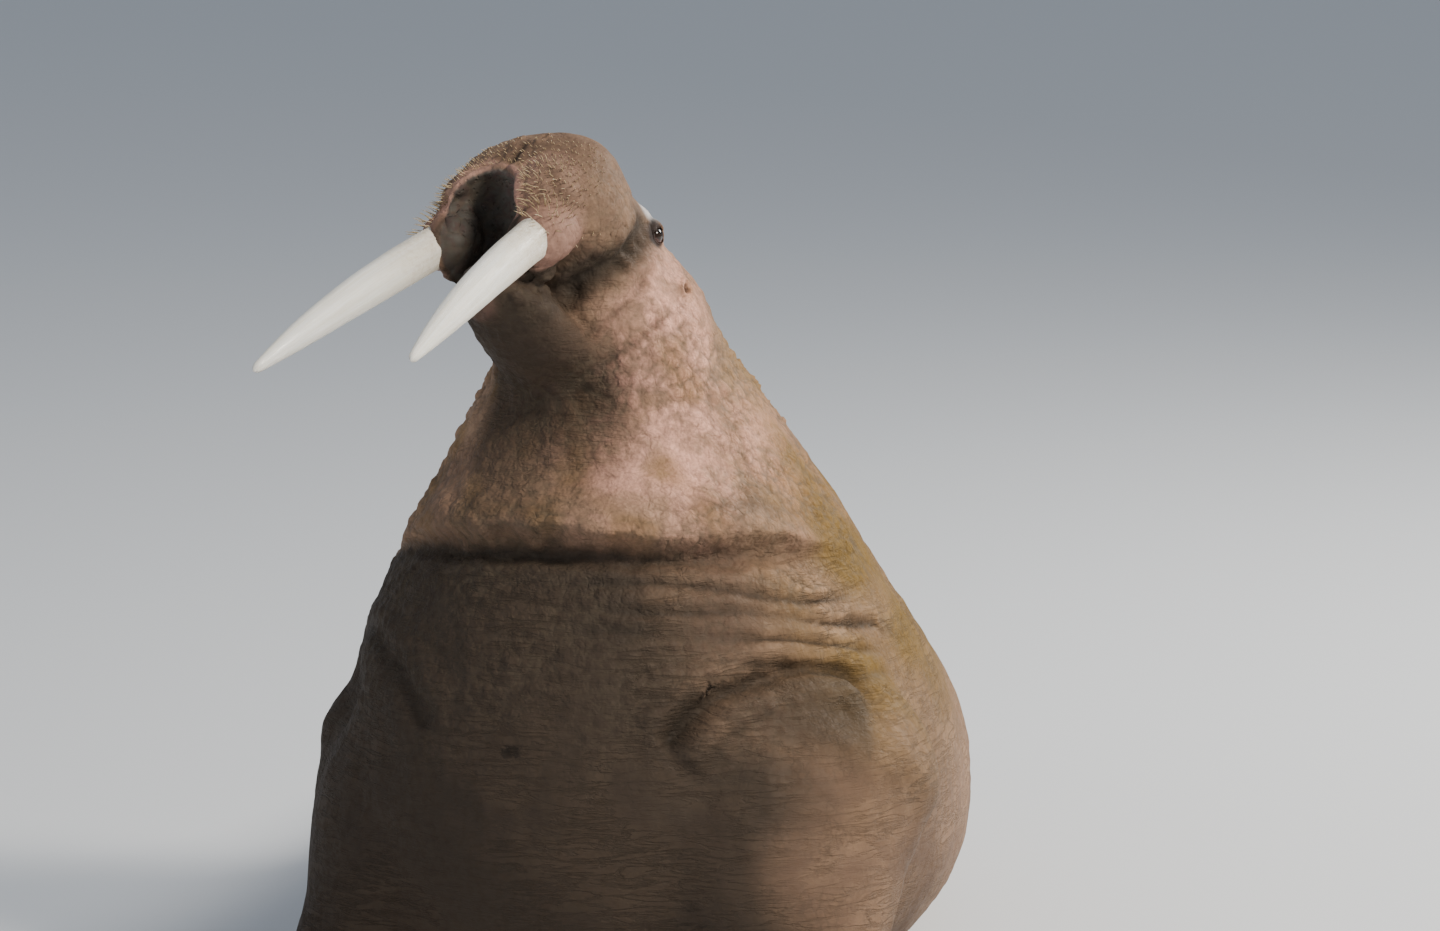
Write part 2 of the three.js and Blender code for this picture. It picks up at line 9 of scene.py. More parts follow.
import bpy
import numpy as np
from mathutils import Matrix, Vector
from mathutils.bvhtree import BVHTree
from mathutils.kdtree import KDTree


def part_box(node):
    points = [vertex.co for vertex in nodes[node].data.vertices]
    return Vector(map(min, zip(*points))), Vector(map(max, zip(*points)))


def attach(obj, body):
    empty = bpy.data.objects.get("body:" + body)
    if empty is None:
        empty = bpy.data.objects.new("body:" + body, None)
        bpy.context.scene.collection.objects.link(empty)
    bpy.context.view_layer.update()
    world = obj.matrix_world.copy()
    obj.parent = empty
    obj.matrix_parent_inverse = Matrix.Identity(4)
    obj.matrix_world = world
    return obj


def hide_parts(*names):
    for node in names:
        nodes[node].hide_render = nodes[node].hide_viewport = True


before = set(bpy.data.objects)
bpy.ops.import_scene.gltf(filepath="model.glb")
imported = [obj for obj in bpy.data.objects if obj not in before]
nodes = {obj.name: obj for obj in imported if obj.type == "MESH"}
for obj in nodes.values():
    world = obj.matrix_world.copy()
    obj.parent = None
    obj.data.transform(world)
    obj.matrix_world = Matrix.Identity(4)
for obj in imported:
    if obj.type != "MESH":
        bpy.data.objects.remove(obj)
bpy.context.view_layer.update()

# %% [markdown]
# ## Where things are
# The head is turned and tilted, so its details are placed in the head's own frame: x to the animal's left,
# y to the back of the head and z to the crown. The middle between the two eyes ties that frame to the model.
# The trunk has a frame too, which starts on the floor below the neck.

# %% The frames of the head and the trunk
HEAD_PITCH, HEAD_YAW, HEAD_ROLL = 58.4, 25.8, 14.9
BETWEEN_EYES = Vector((0, -0.134, 0.108))
HEAD_OVER_TRUNK = Vector((-0.054, -0.059, 1.244))
SIDES = (("left", 1), ("right", -1))


def turn(degrees, axis):
    return Matrix.Rotation(math.radians(degrees), 3, axis)


def middle(node):
    low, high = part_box(node)
    return (low + high) / 2


HEAD_TURN = turn(-HEAD_YAW, "Z") @ turn(-HEAD_PITCH, "X") @ turn(-HEAD_ROLL, "Y")
HEAD_AT = (middle("eye_left") + middle("eye_right")) / 2 - HEAD_TURN @ BETWEEN_EYES
TRUNK_AT = HEAD_AT - HEAD_OVER_TRUNK
HEAD_PLACE = Matrix.Translation(HEAD_AT) @ HEAD_TURN.to_4x4()
print("head joint at", [round(v, 3) for v in HEAD_AT], "trunk frame at", [round(v, 3) for v in TRUNK_AT])

# %% [markdown]
# ## Camera and studio
# The photograph looks at the animal from a little above and from its left front, from far away, so the lens is
# a long one. The studio is a pale floor with a warm key light high on the right, a rim light behind that draws
# the edge of the neck, and a large weak fill light from the left.

# %% Camera
CAMERA_AZIMUTH, CAMERA_RISE = math.radians(22), math.radians(9)
CAMERA_DISTANCE = 14.0
CAMERA_AIM = TRUNK_AT + Vector((0.0824, 0.1983, 0.9663))
LENS, FILM_WIDTH = 185.9, 36

flat = math.cos(CAMERA_RISE)
towards_camera = (math.sin(CAMERA_AZIMUTH) * flat, -math.cos(CAMERA_AZIMUTH) * flat, math.sin(CAMERA_RISE))
towards_camera = Vector(towards_camera)
bpy.ops.object.camera_add(location=CAMERA_AIM + towards_camera * CAMERA_DISTANCE)
camera = bpy.context.object
camera.name = "camera"
camera.rotation_mode = "QUATERNION"
camera.rotation_quaternion = towards_camera.to_track_quat("Z", "Y")
camera.data.lens = LENS
camera.data.sensor_width = FILM_WIDTH
camera.data.clip_end = 200
bpy.context.scene.camera = camera
print("camera at", [round(v, 2) for v in camera.location])

# %% Floor and lights
FLOOR_SIZE = 60
LIGHTS = (
    # name, place, size, power and colour of a soft square lamp that faces the middle of the animal
    ("key_light", (7.0, -2.3, 6.7), 2.0, 1000, (1, 0.93, 0.83)),
    ("rim_light", (3.8, 5.5, 4.9), 2.0, 540, (1, 0.96, 0.90)),
    ("fill_light", (-4.6, -8.2, 4.4), 4.0, 125, (0.90, 0.94, 1)),
)
bpy.ops.mesh.primitive_plane_add(size=FLOOR_SIZE)
floor = bpy.context.object
floor.name = "studio_floor"
floor_paint = bpy.data.materials.new("studio_floor")
floor_paint.use_nodes = True
floor_shader = floor_paint.node_tree.nodes["Principled BSDF"]
floor_shader.inputs["Base Color"].default_value = (0.72, 0.74, 0.76, 1)
floor_shader.inputs["Roughness"].default_value = 0.9
floor.data.materials.append(floor_paint)

world = bpy.data.worlds.new("studio")
world.use_nodes = True
world.node_tree.nodes["Background"].inputs["Color"].default_value = (0.72, 0.8, 0.92, 1)
world.node_tree.nodes["Background"].inputs["Strength"].default_value = 0.42
bpy.context.scene.world = world

for name, at, size, power, colour in LIGHTS:
    bpy.ops.object.light_add(type="AREA", location=at)
    lamp = bpy.context.object
    lamp.name = name
    lamp.data.size = size
    lamp.data.energy = power
    lamp.data.color = colour
    lamp.rotation_euler = (Vector(at) - CAMERA_AIM).to_track_quat("Z", "Y").to_euler()
print("studio has a floor and", len(LIGHTS), "soft lights")

# %% [markdown]
# ## Small helpers
# Everything below is modelled with the same few steps, so they get names here: select one piece, copy a node,
# apply a modifier, put a piece that was made in the head's frame in its place.

# %% Selecting, copying and joining
HEAD_FLESH = ("head", "lower_jaw", "ear_left", "ear_right")
TRUNK_FLESH = ("neck", "chest", "torso", "rump", "tail")
LIMB_FLESH = tuple(
    f"{piece}_{side}"
    for piece in ("upper_arm", "fore_flipper", "hind_leg", "hind_flipper")
    for side, _ in SIDES
)
PAD_NODES = ("whisker_pad_left", "whisker_pad_right")


def only(piece):
    """Makes a piece the active and only selected object."""
    if bpy.context.object and bpy.context.object.mode != "OBJECT":
        bpy.ops.object.mode_set(mode="OBJECT")
    bpy.ops.object.select_all(action="DESELECT")
    piece.select_set(True)
    bpy.context.view_layer.objects.active = piece


def in_edit_mode(piece):
    """Opens a piece for modelling with all of its mesh selected."""
    only(piece)
    bpy.context.tool_settings.mesh_select_mode = (True, False, False)
    bpy.ops.object.mode_set(mode="EDIT")
    bpy.ops.mesh.select_all(action="SELECT")


def copy_of(node):
    """A copy of a node's mesh with its loose triangles merged."""
    only(nodes[node])
    bpy.ops.object.duplicate()
    piece = bpy.context.object
    piece.parent = None
    for key in list(piece.keys()):
        del piece[key]
    piece.data.materials.clear()
    in_edit_mode(piece)
    bpy.ops.mesh.remove_doubles(threshold=0.00002)
    bpy.ops.object.mode_set(mode="OBJECT")
    return piece


def apply_modifier(piece, kind, **settings):
    only(piece)
    modifier = piece.modifiers.new(kind.lower(), kind)
    for name, value in settings.items():
        setattr(modifier, name, value)
    bpy.ops.object.modifier_apply(modifier=modifier.name)


def smooth(piece, rounds, group=""):
    apply_modifier(piece, "SMOOTH", factor=0.5, iterations=rounds, vertex_group=group)


def join_all(pieces, name):
    only(pieces[0])
    for piece in pieces:
        piece.select_set(True)
    bpy.ops.object.join()
    pieces[0].name = name
    return pieces[0]


def face_outward(piece):
    in_edit_mode(piece)
    bpy.ops.mesh.normals_make_consistent(inside=False)
    bpy.ops.object.mode_set(mode="OBJECT")


def placed_in_head(piece):
    """Puts a piece that was made in the head's frame in its place, with its object left at the origin."""
    only(piece)
    bpy.ops.object.transform_apply(location=True, rotation=True, scale=True)
    piece.data.transform(HEAD_PLACE)
    return piece


def head_ball(at, radii, tilt=0.0):
    """A stretched ball in the head's frame, tilted about its x axis."""
    place = {"location": at, "rotation": (math.radians(tilt), 0, 0), "scale": radii}
    bpy.ops.mesh.primitive_uv_sphere_add(segments=48, ring_count=32, radius=1, **place)
    return placed_in_head(bpy.context.object)


def dress(piece, slot, material, *replaced):
    only(piece)
    bpy.ops.object.shade_smooth()
    piece.data.materials.append(material)
    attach(piece, "root")
    if replaced:
        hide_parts(*replaced)


print("the flesh has", len(TRUNK_FLESH + LIMB_FLESH + HEAD_FLESH + PAD_NODES), "nodes")

# %% [markdown]
# ## Reading and moving the points of a mesh
# A sculptor pushes clay with a brush. In code the brush is a mask: a number from 0 to 1 for each point, which
# comes from the point's place. The points are read into one array, moved along their normals and written back.

# %% Points, frames and masks
def points_of(piece, what="co"):
    """The places or the normals of a piece's points."""
    values = np.empty(len(piece.data.vertices) * 3, np.float32)
    piece.data.vertices.foreach_get(what, values)
    return values.reshape(-1, 3).astype(float)


def move_points(piece, places):
    piece.data.vertices.foreach_set("co", places.astype(np.float32).ravel())
    piece.data.update()


def push_out(piece, shift):
    """Moves each point along its normal, inwards where its shift is negative."""
    move_points(piece, points_of(piece) + points_of(piece, "normal") * shift[:, None])


def ramp(values, start, end):
    """0 before start and 1 after end, smooth in between."""
    share = np.clip((values - start) / (end - start), 0, 1)
    return share * share * (3 - 2 * share)


def hump(values, centre, width):
    """1 at the centre, falling away smoothly on both sides."""
    return np.exp(-(((values - centre) / width) ** 2))


def distance_to(places, point):
    return np.linalg.norm(places - np.array(point), axis=1)


def in_trunk_frame(places):
    return places - np.array(TRUNK_AT)


def in_head_frame(places):
    return (places - np.array(HEAD_AT)) @ np.array(HEAD_TURN)


def in_frames(piece):
    """A piece's points in the frames of the trunk and of the head."""
    places = points_of(piece)
    return in_trunk_frame(places), in_head_frame(places)


def mirrored_head(places):
    """Places in the head's frame, with those of the right side mirrored to the left, and the side of each."""
    local = in_head_frame(places)
    side = np.where(local[:, 0] < 0, -1.0, 1.0)
    local[:, 0] *= side
    return local, side


def out_of_head(mirrored, side):
    """Mirrored places back to where they belong."""
    local = mirrored.copy()
    local[:, 0] *= side
    return local @ np.array(HEAD_TURN).T + np.array(HEAD_AT)


def on_side(point, side):
    return Vector((point[0] * side, point[1], point[2]))


print("points can be read in the frame of the trunk or of the head")

# %% Unevenness, vertex groups and painted layers
def waves(places, length, seed, count=28):
    """Smooth random unevenness of about -1 to 1, from many plane waves of about one length."""
    draw = np.random.default_rng(seed)
    total = np.zeros(len(places))
    for _ in range(count):
        way = draw.normal(size=3)
        way *= math.tau / (np.linalg.norm(way) * length * draw.uniform(0.7, 1.5))
        total += np.sin(places @ way + draw.uniform(0, math.tau))
    return total / math.sqrt(count)


def group_from(piece, name, weights, steps=12):
    """A vertex group from one weight for each point, in steps."""
    group = piece.vertex_groups.new(name=name)
    levels = np.rint(np.clip(weights, 0, 1) * steps).astype(int)
    for step in range(1, steps + 1):
        chosen = np.nonzero(levels == step)[0]
        if len(chosen):
            group.add(chosen.tolist(), step / steps, "REPLACE")


def paint(piece, name, weights):
    """Keeps one number for each point, which a material can read."""
    layer = piece.data.attributes.new(name, "FLOAT", "POINT")
    layer.data.foreach_set("value", np.clip(weights, 0, 1).astype(np.float32))


def surface_of(piece):
    """A piece's faces, ready to be asked for the nearest place or for where a ray hits."""
    mesh = piece.data
    return BVHTree.FromPolygons([v.co for v in mesh.vertices], [face.vertices for face in mesh.polygons])


def subdivide_where(piece, chosen):
    """Divides the faces whose middle is chosen, in edit mode."""
    only(piece)
    mesh = piece.data
    centres = np.empty(len(mesh.polygons) * 3, np.float32)
    mesh.polygons.foreach_get("center", centres)
    picked = chosen(centres.reshape(-1, 3).astype(float))
    bpy.context.tool_settings.mesh_select_mode = (False, False, True)
    mesh.vertices.foreach_set("select", np.zeros(len(mesh.vertices), bool))
    mesh.edges.foreach_set("select", np.zeros(len(mesh.edges), bool))
    mesh.polygons.foreach_set("select", picked)
    bpy.ops.object.mode_set(mode="EDIT")
    bpy.ops.mesh.subdivide(number_cuts=1)
    bpy.ops.object.mode_set(mode="OBJECT")
    print("divided", int(picked.sum()), "faces,", len(mesh.polygons), "now")


# %% [markdown]
# ## One skin
# The solids divide the animal into pieces with thin cuts, but the real hide has no seams. The flesh pieces are
# copied, made a little fatter so that they overlap, and turned into one closed surface by a voxel remesh. The
# whisker pads are made from balls, so that the bristles of the solids stay out of the skin, and a longer ball
# cuts the open mouth out of the head and the pads.

# %% Copies of the flesh, a little fatter
OVERLAP = 0.0012
flesh = {node: copy_of(node) for node in TRUNK_FLESH + LIMB_FLESH + HEAD_FLESH}
for piece in flesh.values():
    in_edit_mode(piece)
    bpy.ops.transform.shrink_fatten(value=OVERLAP)
    bpy.ops.object.mode_set(mode="OBJECT")
print(len(flesh), "flesh pieces copied")

# %% Whisker pads and the open mouth
PAD_AT = Vector((0.074, -0.326, -0.044))
PAD_RADII = Vector((0.082, 0.080, 0.102))
MOUTH_AT = Vector((-0.0165, -0.326, -0.138))
MOUTH_RADII = Vector((0.081, 0.132, 0.092))
MOUTH_TILT = -38

mouth_cutter = head_ball(MOUTH_AT, MOUTH_RADII, MOUTH_TILT)
for side_name, side in SIDES:
    flesh[f"pad_{side_name}"] = head_ball(on_side(PAD_AT, side), PAD_RADII)
for name in ("head", "pad_left", "pad_right"):
    apply_modifier(flesh[name], "BOOLEAN", operation="DIFFERENCE", object=mouth_cutter, solver="EXACT")
bpy.data.objects.remove(mouth_cutter)
print("the mouth is", round(2 * MOUTH_RADII[0], 3), "m wide")

# %% [markdown]
# ## Flesh between the solids
# The root of a real tusk sits in a thick socket of gum. A tilted ball stands for each socket. Smaller balls fill
# the corners of the mouth and the hollow where the arm, the neck and the chest meet, because a remesh would
# leave sharp pits there.

# %% Sockets, corners of the mouth and arm roots
TUSK_EXIT = Vector((0.106, -0.321, -0.139))
TUSK_WAY = Vector((0.130, -0.213, -0.968))
TUSK_TILT = -12.4
SOCKET_AT = TUSK_EXIT - 0.005 * TUSK_WAY
SOCKET_RADII = Vector((0.046, 0.047, 0.078))
CORNER_AT = Vector((0.090, -0.272, -0.152))
CORNER_RADII = Vector((0.024, 0.038, 0.038))
ARM_ROOT = Vector((0.262, -0.318, 0.640))
ARM_ROOT_RADIUS = 0.036

for side_name, side in SIDES:
    flesh[f"socket_{side_name}"] = head_ball(on_side(SOCKET_AT, side), SOCKET_RADII, TUSK_TILT)
    flesh[f"corner_{side_name}"] = head_ball(on_side(CORNER_AT, side), CORNER_RADII)
    root_at = TRUNK_AT + on_side(ARM_ROOT, side)
    bpy.ops.mesh.primitive_uv_sphere_add(segments=24, ring_count=16, radius=ARM_ROOT_RADIUS, location=root_at)
    flesh[f"arm_root_{side_name}"] = bpy.context.object
    bpy.ops.object.transform_apply(location=True, rotation=True, scale=True)
print("the flesh has", len(flesh), "pieces now")

# %% Voxel remesh to one closed skin
VOXEL = 0.008
skin = join_all(list(flesh.values()), "skin")
skin.data.remesh_voxel_size = VOXEL
skin.data.remesh_voxel_adaptivity = 0
bpy.ops.object.voxel_remesh()
print("skin remeshed to", len(skin.data.polygons), "faces")

# %% [markdown]
# ## Smoothing and spreading the detail
# The trunk's solids have wide flat facets, which many rounds of smoothing melt into a rounded body. The head,
# the mouth and the flippers need their shape, so they get few rounds. Then the hind part gives up most of its
# faces, and the face gets more, because that is where people look.

# %% Smooth the trunk more than the rest
places = points_of(skin)
ahead = -in_head_frame(places)[:, 1]
on_flipper = np.zeros(len(places))
for name in [f"{limb}_flipper_{side}" for limb in ("fore", "hind") for side, _ in SIDES]:
    low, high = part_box(name)
    outside = np.maximum(np.array(low) - places, places - np.array(high)).max(axis=1)
    on_flipper = np.maximum(on_flipper, 1 - ramp(outside, 0, 0.06))
trunk_mask = (1 - ramp(ahead, -0.02, 0.12)) * (1 - on_flipper)
group_from(skin, "trunk", trunk_mask)
smooth(skin, 90, "trunk")
smooth(skin, 4)
print("trunk smoothed over", int((trunk_mask > 0.5).sum()), "points")

# %% Fewer faces on the hind part
TRIANGLES_KEPT = 132000
trunk, local = in_frames(skin)
behind = (trunk[:, 1] + 0.30 * (0.9 - trunk[:, 2]) > 0.10) & (-local[:, 1] < 0.02)
low_front = trunk[:, 2] < 0.36
hind = behind | low_front
group_from(skin, "hind", hind.astype(float))
ratio = TRIANGLES_KEPT / (2 * len(skin.data.polygons))
apply_modifier(skin, "DECIMATE", ratio=ratio, vertex_group="hind", vertex_group_factor=1.0)
print("skin has", len(skin.data.polygons), "faces,", int((~hind).sum()), "points were left untouched")

# %% More faces on the face
EYE_AT = Vector((0.127, -0.134, 0.108))
EYE_SIZE = 0.019
NOSTRIL_AT = Vector((0.030, -0.378, 0.058))
EAR_AT = Vector((0.184, -0.042, 0.066))
FACE_FINE, EYE_FINE, EAR_FINE = 0.075, 0.036, 0.022


def in_face(centres):
    local, _ = mirrored_head(centres)
    front = (local[:, 1] < -0.215) & (local[:, 2] > -0.30) & (local[:, 0] < 0.2)
    return front | (distance_to(local, EYE_AT) < FACE_FINE)


def near_eye(centres):
    local, _ = mirrored_head(centres)
    return (distance_to(local, EYE_AT) < EYE_FINE) | (distance_to(local, EAR_AT) < EAR_FINE)


subdivide_where(skin, in_face)
subdivide_where(skin, near_eye)
mirrored, _ = mirrored_head(points_of(skin))
group_from(skin, "face", 1 - ramp(distance_to(mirrored, EYE_AT), 0.05, 0.08) + (mirrored[:, 1] < -0.2))
smooth(skin, 3, "face")

# %% [markdown]
# ## Folds of the loose hide
# A bull's neck skin hangs in rolls. The largest one hangs over the chest like a collar and throws a shadow.
# Finer folds run below it and over the nape. Each is a line at one level of a tilted height, which wanders a
# little. The collar swells slowly from above and ends in a steep edge over a hollow, and a finer fold is a
# swelling over a crease.

# %% The collar
COLLAR_TILT = (-0.05, 0.21)
COLLAR_LEVEL = 0.832
COLLAR_MIDDLE = 8
COLLAR_SWELLING, COLLAR_HOLLOW = 0.042, 0.024
trunk, local = in_frames(skin)
round_trunk = np.degrees(np.arctan2(trunk[:, 0] - 0.03, -(trunk[:, 1] + 0.02)))
collar_height = trunk[:, 2] + COLLAR_TILT[0] * trunk[:, 0] + COLLAR_TILT[1] * trunk[:, 1]
off_head = 1 - ramp(-local[:, 1], 0.02, 0.14)
on_front = 1 - ramp(trunk[:, 1], 0.30, 0.55)
strength = (1 - ramp(np.abs(round_trunk - COLLAR_MIDDLE), 44, 98)) * off_head * on_front
strength *= np.clip(0.95 + 0.12 * waves(trunk, 0.30, 40), 0.6, 1.1)
over_edge = collar_height - COLLAR_LEVEL + 0.008 * waves(trunk, 0.32, 20) + 0.0035 * waves(trunk, 0.055, 33)
below_collar = 1 - ramp(over_edge, -0.022, 0.002)
shift = COLLAR_SWELLING * strength * ramp(over_edge, -0.010, 0.014)
shift *= hump(np.maximum(over_edge - 0.025, 0), 0, 0.060)
shift -= COLLAR_HOLLOW * strength * hump(over_edge, -0.020, 0.018)
# the line of the crease under the collar, where painted shade goes
crease = 0.6 * strength * hump(over_edge, -0.014, 0.016)
print("the collar stands out by", round(float(shift.max()), 4), "m")

# %% Finer folds
FOLDS = (
    # level, swelling, crease, width, middle of its arc in degrees, half of its arc
    (0.748, 0.007, 0.008, 0.030, 45, 55),
    (0.706, 0.007, 0.009, 0.028, 60, 65),
    (0.660, 0.006, 0.007, 0.028, 50, 55),
    (0.615, 0.005, 0.007, 0.028, 62, 55),
    (0.900, 0.006, 0.004, 0.040, 55, 40),
    (1.045, 0.007, 0.006, 0.040, 180, 60),
    (1.130, 0.008, 0.007, 0.040, 185, 60),
    (1.205, 0.007, 0.007, 0.036, 180, 60),
)
DEEP_FOLD = 0.009
for i, (level, swelling, depth, width, middle_at, half_arc) in enumerate(FOLDS, start=1):
    turned = np.abs((round_trunk - middle_at + 180) % 360 - 180)
    strength = (1 - ramp(turned, half_arc * 0.55, half_arc)) * off_head * on_front
    strength *= np.clip(0.85 + 0.45 * waves(trunk, 0.30, 40 + i), 0.2, 1.2)
    along = (collar_height - level + 0.010 * waves(trunk, 0.32, 20 + i)) / width
    shift += strength * swelling * (hump(along, 0.75, 0.60) - 0.1)
    shift -= strength * depth * hump(along, -0.05, 0.30)
    crease = np.maximum(crease, strength * hump(along, -0.08, 0.26) * min(depth / DEEP_FOLD, 1))
push_out(skin, shift)
print("folds move the skin by", round(float(shift.min()), 4), "to", round(float(shift.max()), 4), "m")

# %% [markdown]
# ## The fold over the shoulder
# Where the upper arm leaves the chest, the hide makes a deep arched crease. Its line goes through a few places
# that were found on the model, and every point of the skin gets its distance to that line. The flesh inside the
# arch swells, and the flesh outside rises a little less. The right shoulder is flatter than the left.

# %% Shoulder creases
SHOULDER_LINE = (
    (0.217, -0.420, 0.538), (0.234, -0.405, 0.566), (0.254, -0.386, 0.592), (0.276, -0.363, 0.615),
    (0.298, -0.337, 0.633), (0.325, -0.305, 0.646), (0.351, -0.272, 0.656), (0.380, -0.225, 0.664),
    (0.411, -0.177, 0.666), (0.440, -0.138, 0.660), (0.466, -0.112, 0.644), (0.494, -0.110, 0.617),
    (0.518, -0.132, 0.584), (0.542, -0.180, 0.543),
)
LOBE_AT = (0.404, -0.308, 0.556)
RIGHT_FLANK_AT = (-0.53, -0.22, 0.54)


def on_the_skin(line, surface):
    """A line made twice as fine, with every place moved to the nearest one on the skin."""
    spots = [Vector(spot) for spot in line]
    finer = [spots[0]]
    for spot in spots[1:]:
        finer += [(finer[-1] + spot) / 2, spot]
    return [tuple(surface.find_nearest(spot + TRUNK_AT)[0] - TRUNK_AT) for spot in finer]


def distance_to_line(spots, line):
    """Distance of each spot to a line of straight stretches, and how far along the line that is."""
    best = np.full(len(spots), 9.0)
    share = np.zeros(len(spots))
    for i in range(len(line) - 1):
        a, b = np.array(line[i]), np.array(line[i + 1])
        t = np.clip((spots - a) @ (b - a) / ((b - a) @ (b - a)), 0, 1)
        gap = np.linalg.norm(spots - a - t[:, None] * (b - a), axis=1)
        share = np.where(gap < best, (i + t) / (len(line) - 1), share)
        best = np.minimum(best, gap)
    return best, share


trunk = in_trunk_frame(points_of(skin))
shift = np.zeros(len(trunk))
in_lobe = np.zeros(len(trunk))
surface = surface_of(skin)
# the side, and how much of the crease, of the swelling and of the shade it gets
for side, crease_share, lobe_share, shade_share in ((1, 1, 1, 1), (-1, 0.4, 0.3, 0.5)):
    line = on_the_skin([on_side(spot, side) for spot in SHOULDER_LINE], surface)
    gap, share = distance_to_line(trunk, line)
    steps = np.linspace(0, 1, len(line))
    nearest = np.stack([np.interp(share, steps, [spot[k] for spot in line]) for k in range(3)], 1)
    lobe_at = on_side(LOBE_AT, side)
    inside = ramp(distance_to(nearest, lobe_at) - distance_to(trunk, lobe_at), -0.010, 0.022)
    fade = ramp(share, 0.0, 0.06) * (1 - ramp(share, 0.74, 1.0)) * crease_share
    thin = ramp(share, 0.40, 0.65)
    gap = gap + 0.003 * waves(trunk, 0.12, 70)
    shift -= fade * (0.030 - 0.016 * thin) * hump(gap / (1 - 0.4 * thin), 0, 0.019)
    shift += fade * 0.022 * inside * hump(gap, 0.050, 0.034) * lobe_share
    shift += fade * 0.008 * (1 - inside) * hump(gap, 0.045, 0.020)
    crease = np.maximum(crease, fade * (1 - 0.25 * thin) * hump(gap / (1 - 0.4 * thin), 0, 0.018))
    in_lobe = np.maximum(in_lobe, inside * ramp(share, 0.1, 0.3) * shade_share)
shift -= 0.042 * hump(distance_to(trunk, RIGHT_FLANK_AT), 0, 0.085)
push_out(skin, shift)
group_from(skin, "creased", ramp(crease, 0.05, 0.3))
smooth(skin, 6, "creased")
print("shoulder creases are", round(-float(shift.min()), 4), "m deep")

# %% [markdown]
# ## Warts and loose hide
# The neck and shoulders of an old bull are covered with thick round bosses, with narrow gaps between them that
# get painted shade.
# Their middles are scattered over the skin, one in each small cube of space, and the skin rises where a point
# is much nearer to one middle than to the next. A Displace modifier with a clouds texture then loosens the rest.

# %% Bosses round scattered middles
BOSS_SPACING, BOSS_HEIGHT = 0.034, 0.0066
BOSS_EDGE, BOSS_GAP = 0.019, 0.0085
places = points_of(skin)
trunk, local = in_frames(skin)
on_neck = ramp(trunk[:, 2], 0.60, 0.88) * (1 - ramp(-local[:, 1], 0.02, 0.16))
on_shoulder = ramp(trunk[:, 2], 0.36, 0.66) * (1 - ramp(trunk[:, 1], 0.4, 0.9)) * 0.55
warty = np.maximum(on_neck, on_shoulder) * np.clip(0.7 + 0.45 * waves(trunk, 0.22, 7), 0.2, 1.1)
draw = np.random.default_rng(11)
mixed_order = draw.permutation(np.nonzero(warty > 0.05)[0])
cubes = np.floor(places[mixed_order] / BOSS_SPACING).astype(int)
_, first = np.unique(cubes, axis=0, return_index=True)
middles = places[mixed_order[first]]
strength_of = draw.uniform(0.35, 1.25, len(middles))
finder = KDTree(len(middles))
for i, spot in enumerate(middles):
    finder.insert(spot, i)
finder.balance()
rise = np.zeros(len(places))
# how far into the narrow gap between two bosses a point lies, for painted shade there
gap_shade = np.zeros(len(places))
for i in np.nonzero(warty > 0.03)[0]:
    (_, nearest, near), (_, _, next_near) = finder.find_n(places[i], 2)
    rise[i] = strength_of[nearest] * min((next_near - near) / BOSS_EDGE, 1)
    gap_shade[i] = max(0, 1 - (next_near - near) / BOSS_GAP)
push_out(skin, BOSS_HEIGHT * warty * (rise - 0.45))
print(len(middles), "bosses on the neck and shoulders")

# %% Loose hide with a Displace modifier
loose = bpy.data.textures.new("loose_hide", "CLOUDS")
loose.noise_scale = 0.085
loose.noise_depth = 2
group_from(skin, "off_the_face", 1 - ramp(-local[:, 1], 0.0, 0.16))
looseness = {"strength": 0.011, "mid_level": 0.5, "vertex_group": "off_the_face"}
apply_modifier(skin, "DISPLACE", texture=loose, texture_coords="LOCAL", **looseness)
print("the hide is loose and uneven")

# %% [markdown]
# ## The face
# The face is modelled with brushes that work on both sides of the head at once. Lids close round each eyeball,
# creases run behind the muzzle and over the snout, the nostrils and ears are pits with a soft rim, and the lips
# swell round the open mouth. The brushes read the head's own frame, with the right side mirrored to the left.

# %% Lids round the eyes
EYE_OUTWARD = Vector((0.90, -0.34, 0.26)).normalized()
LID_SLIT = 0.64
# the height of the hide over the eyeball's middle, from inside the slit to the rim and the groove behind it
LID_DEGREES = (0, 33, 38, 44, 58, 72, 90)
LID_HEIGHTS = (0.0150, 0.0160, 0.0205, 0.0236, 0.0240, 0.0222, 0.0235)

mirrored, side_of = mirrored_head(points_of(skin))
outward = np.array(EYE_OUTWARD)
along_slit = np.cross(outward, (0, 0, 1))
along_slit /= np.linalg.norm(along_slit)
across_slit = np.cross(along_slit, outward)
far = distance_to(mirrored, EYE_AT)
direction = (mirrored - np.array(EYE_AT)) / np.maximum(far, 1e-6)[:, None]
slit = np.hypot(direction @ along_slit, (direction @ across_slit) / LID_SLIT)
open_angle = np.degrees(np.arctan2(slit, direction @ outward))
lid_hold = (1 - ramp(open_angle, 70, 100)) * (1 - ramp(far, 0.030, 0.046))
new_far = far + lid_hold * (np.interp(open_angle, LID_DEGREES, LID_HEIGHTS) - far)
move_points(skin, out_of_head(np.array(EYE_AT) + direction * new_far[:, None], side_of))
lid_skin = lid_hold * (1 - ramp(open_angle, 60, 78))
print("lids are drawn round both eyes over", int((lid_hold > 0.5).sum()), "points")

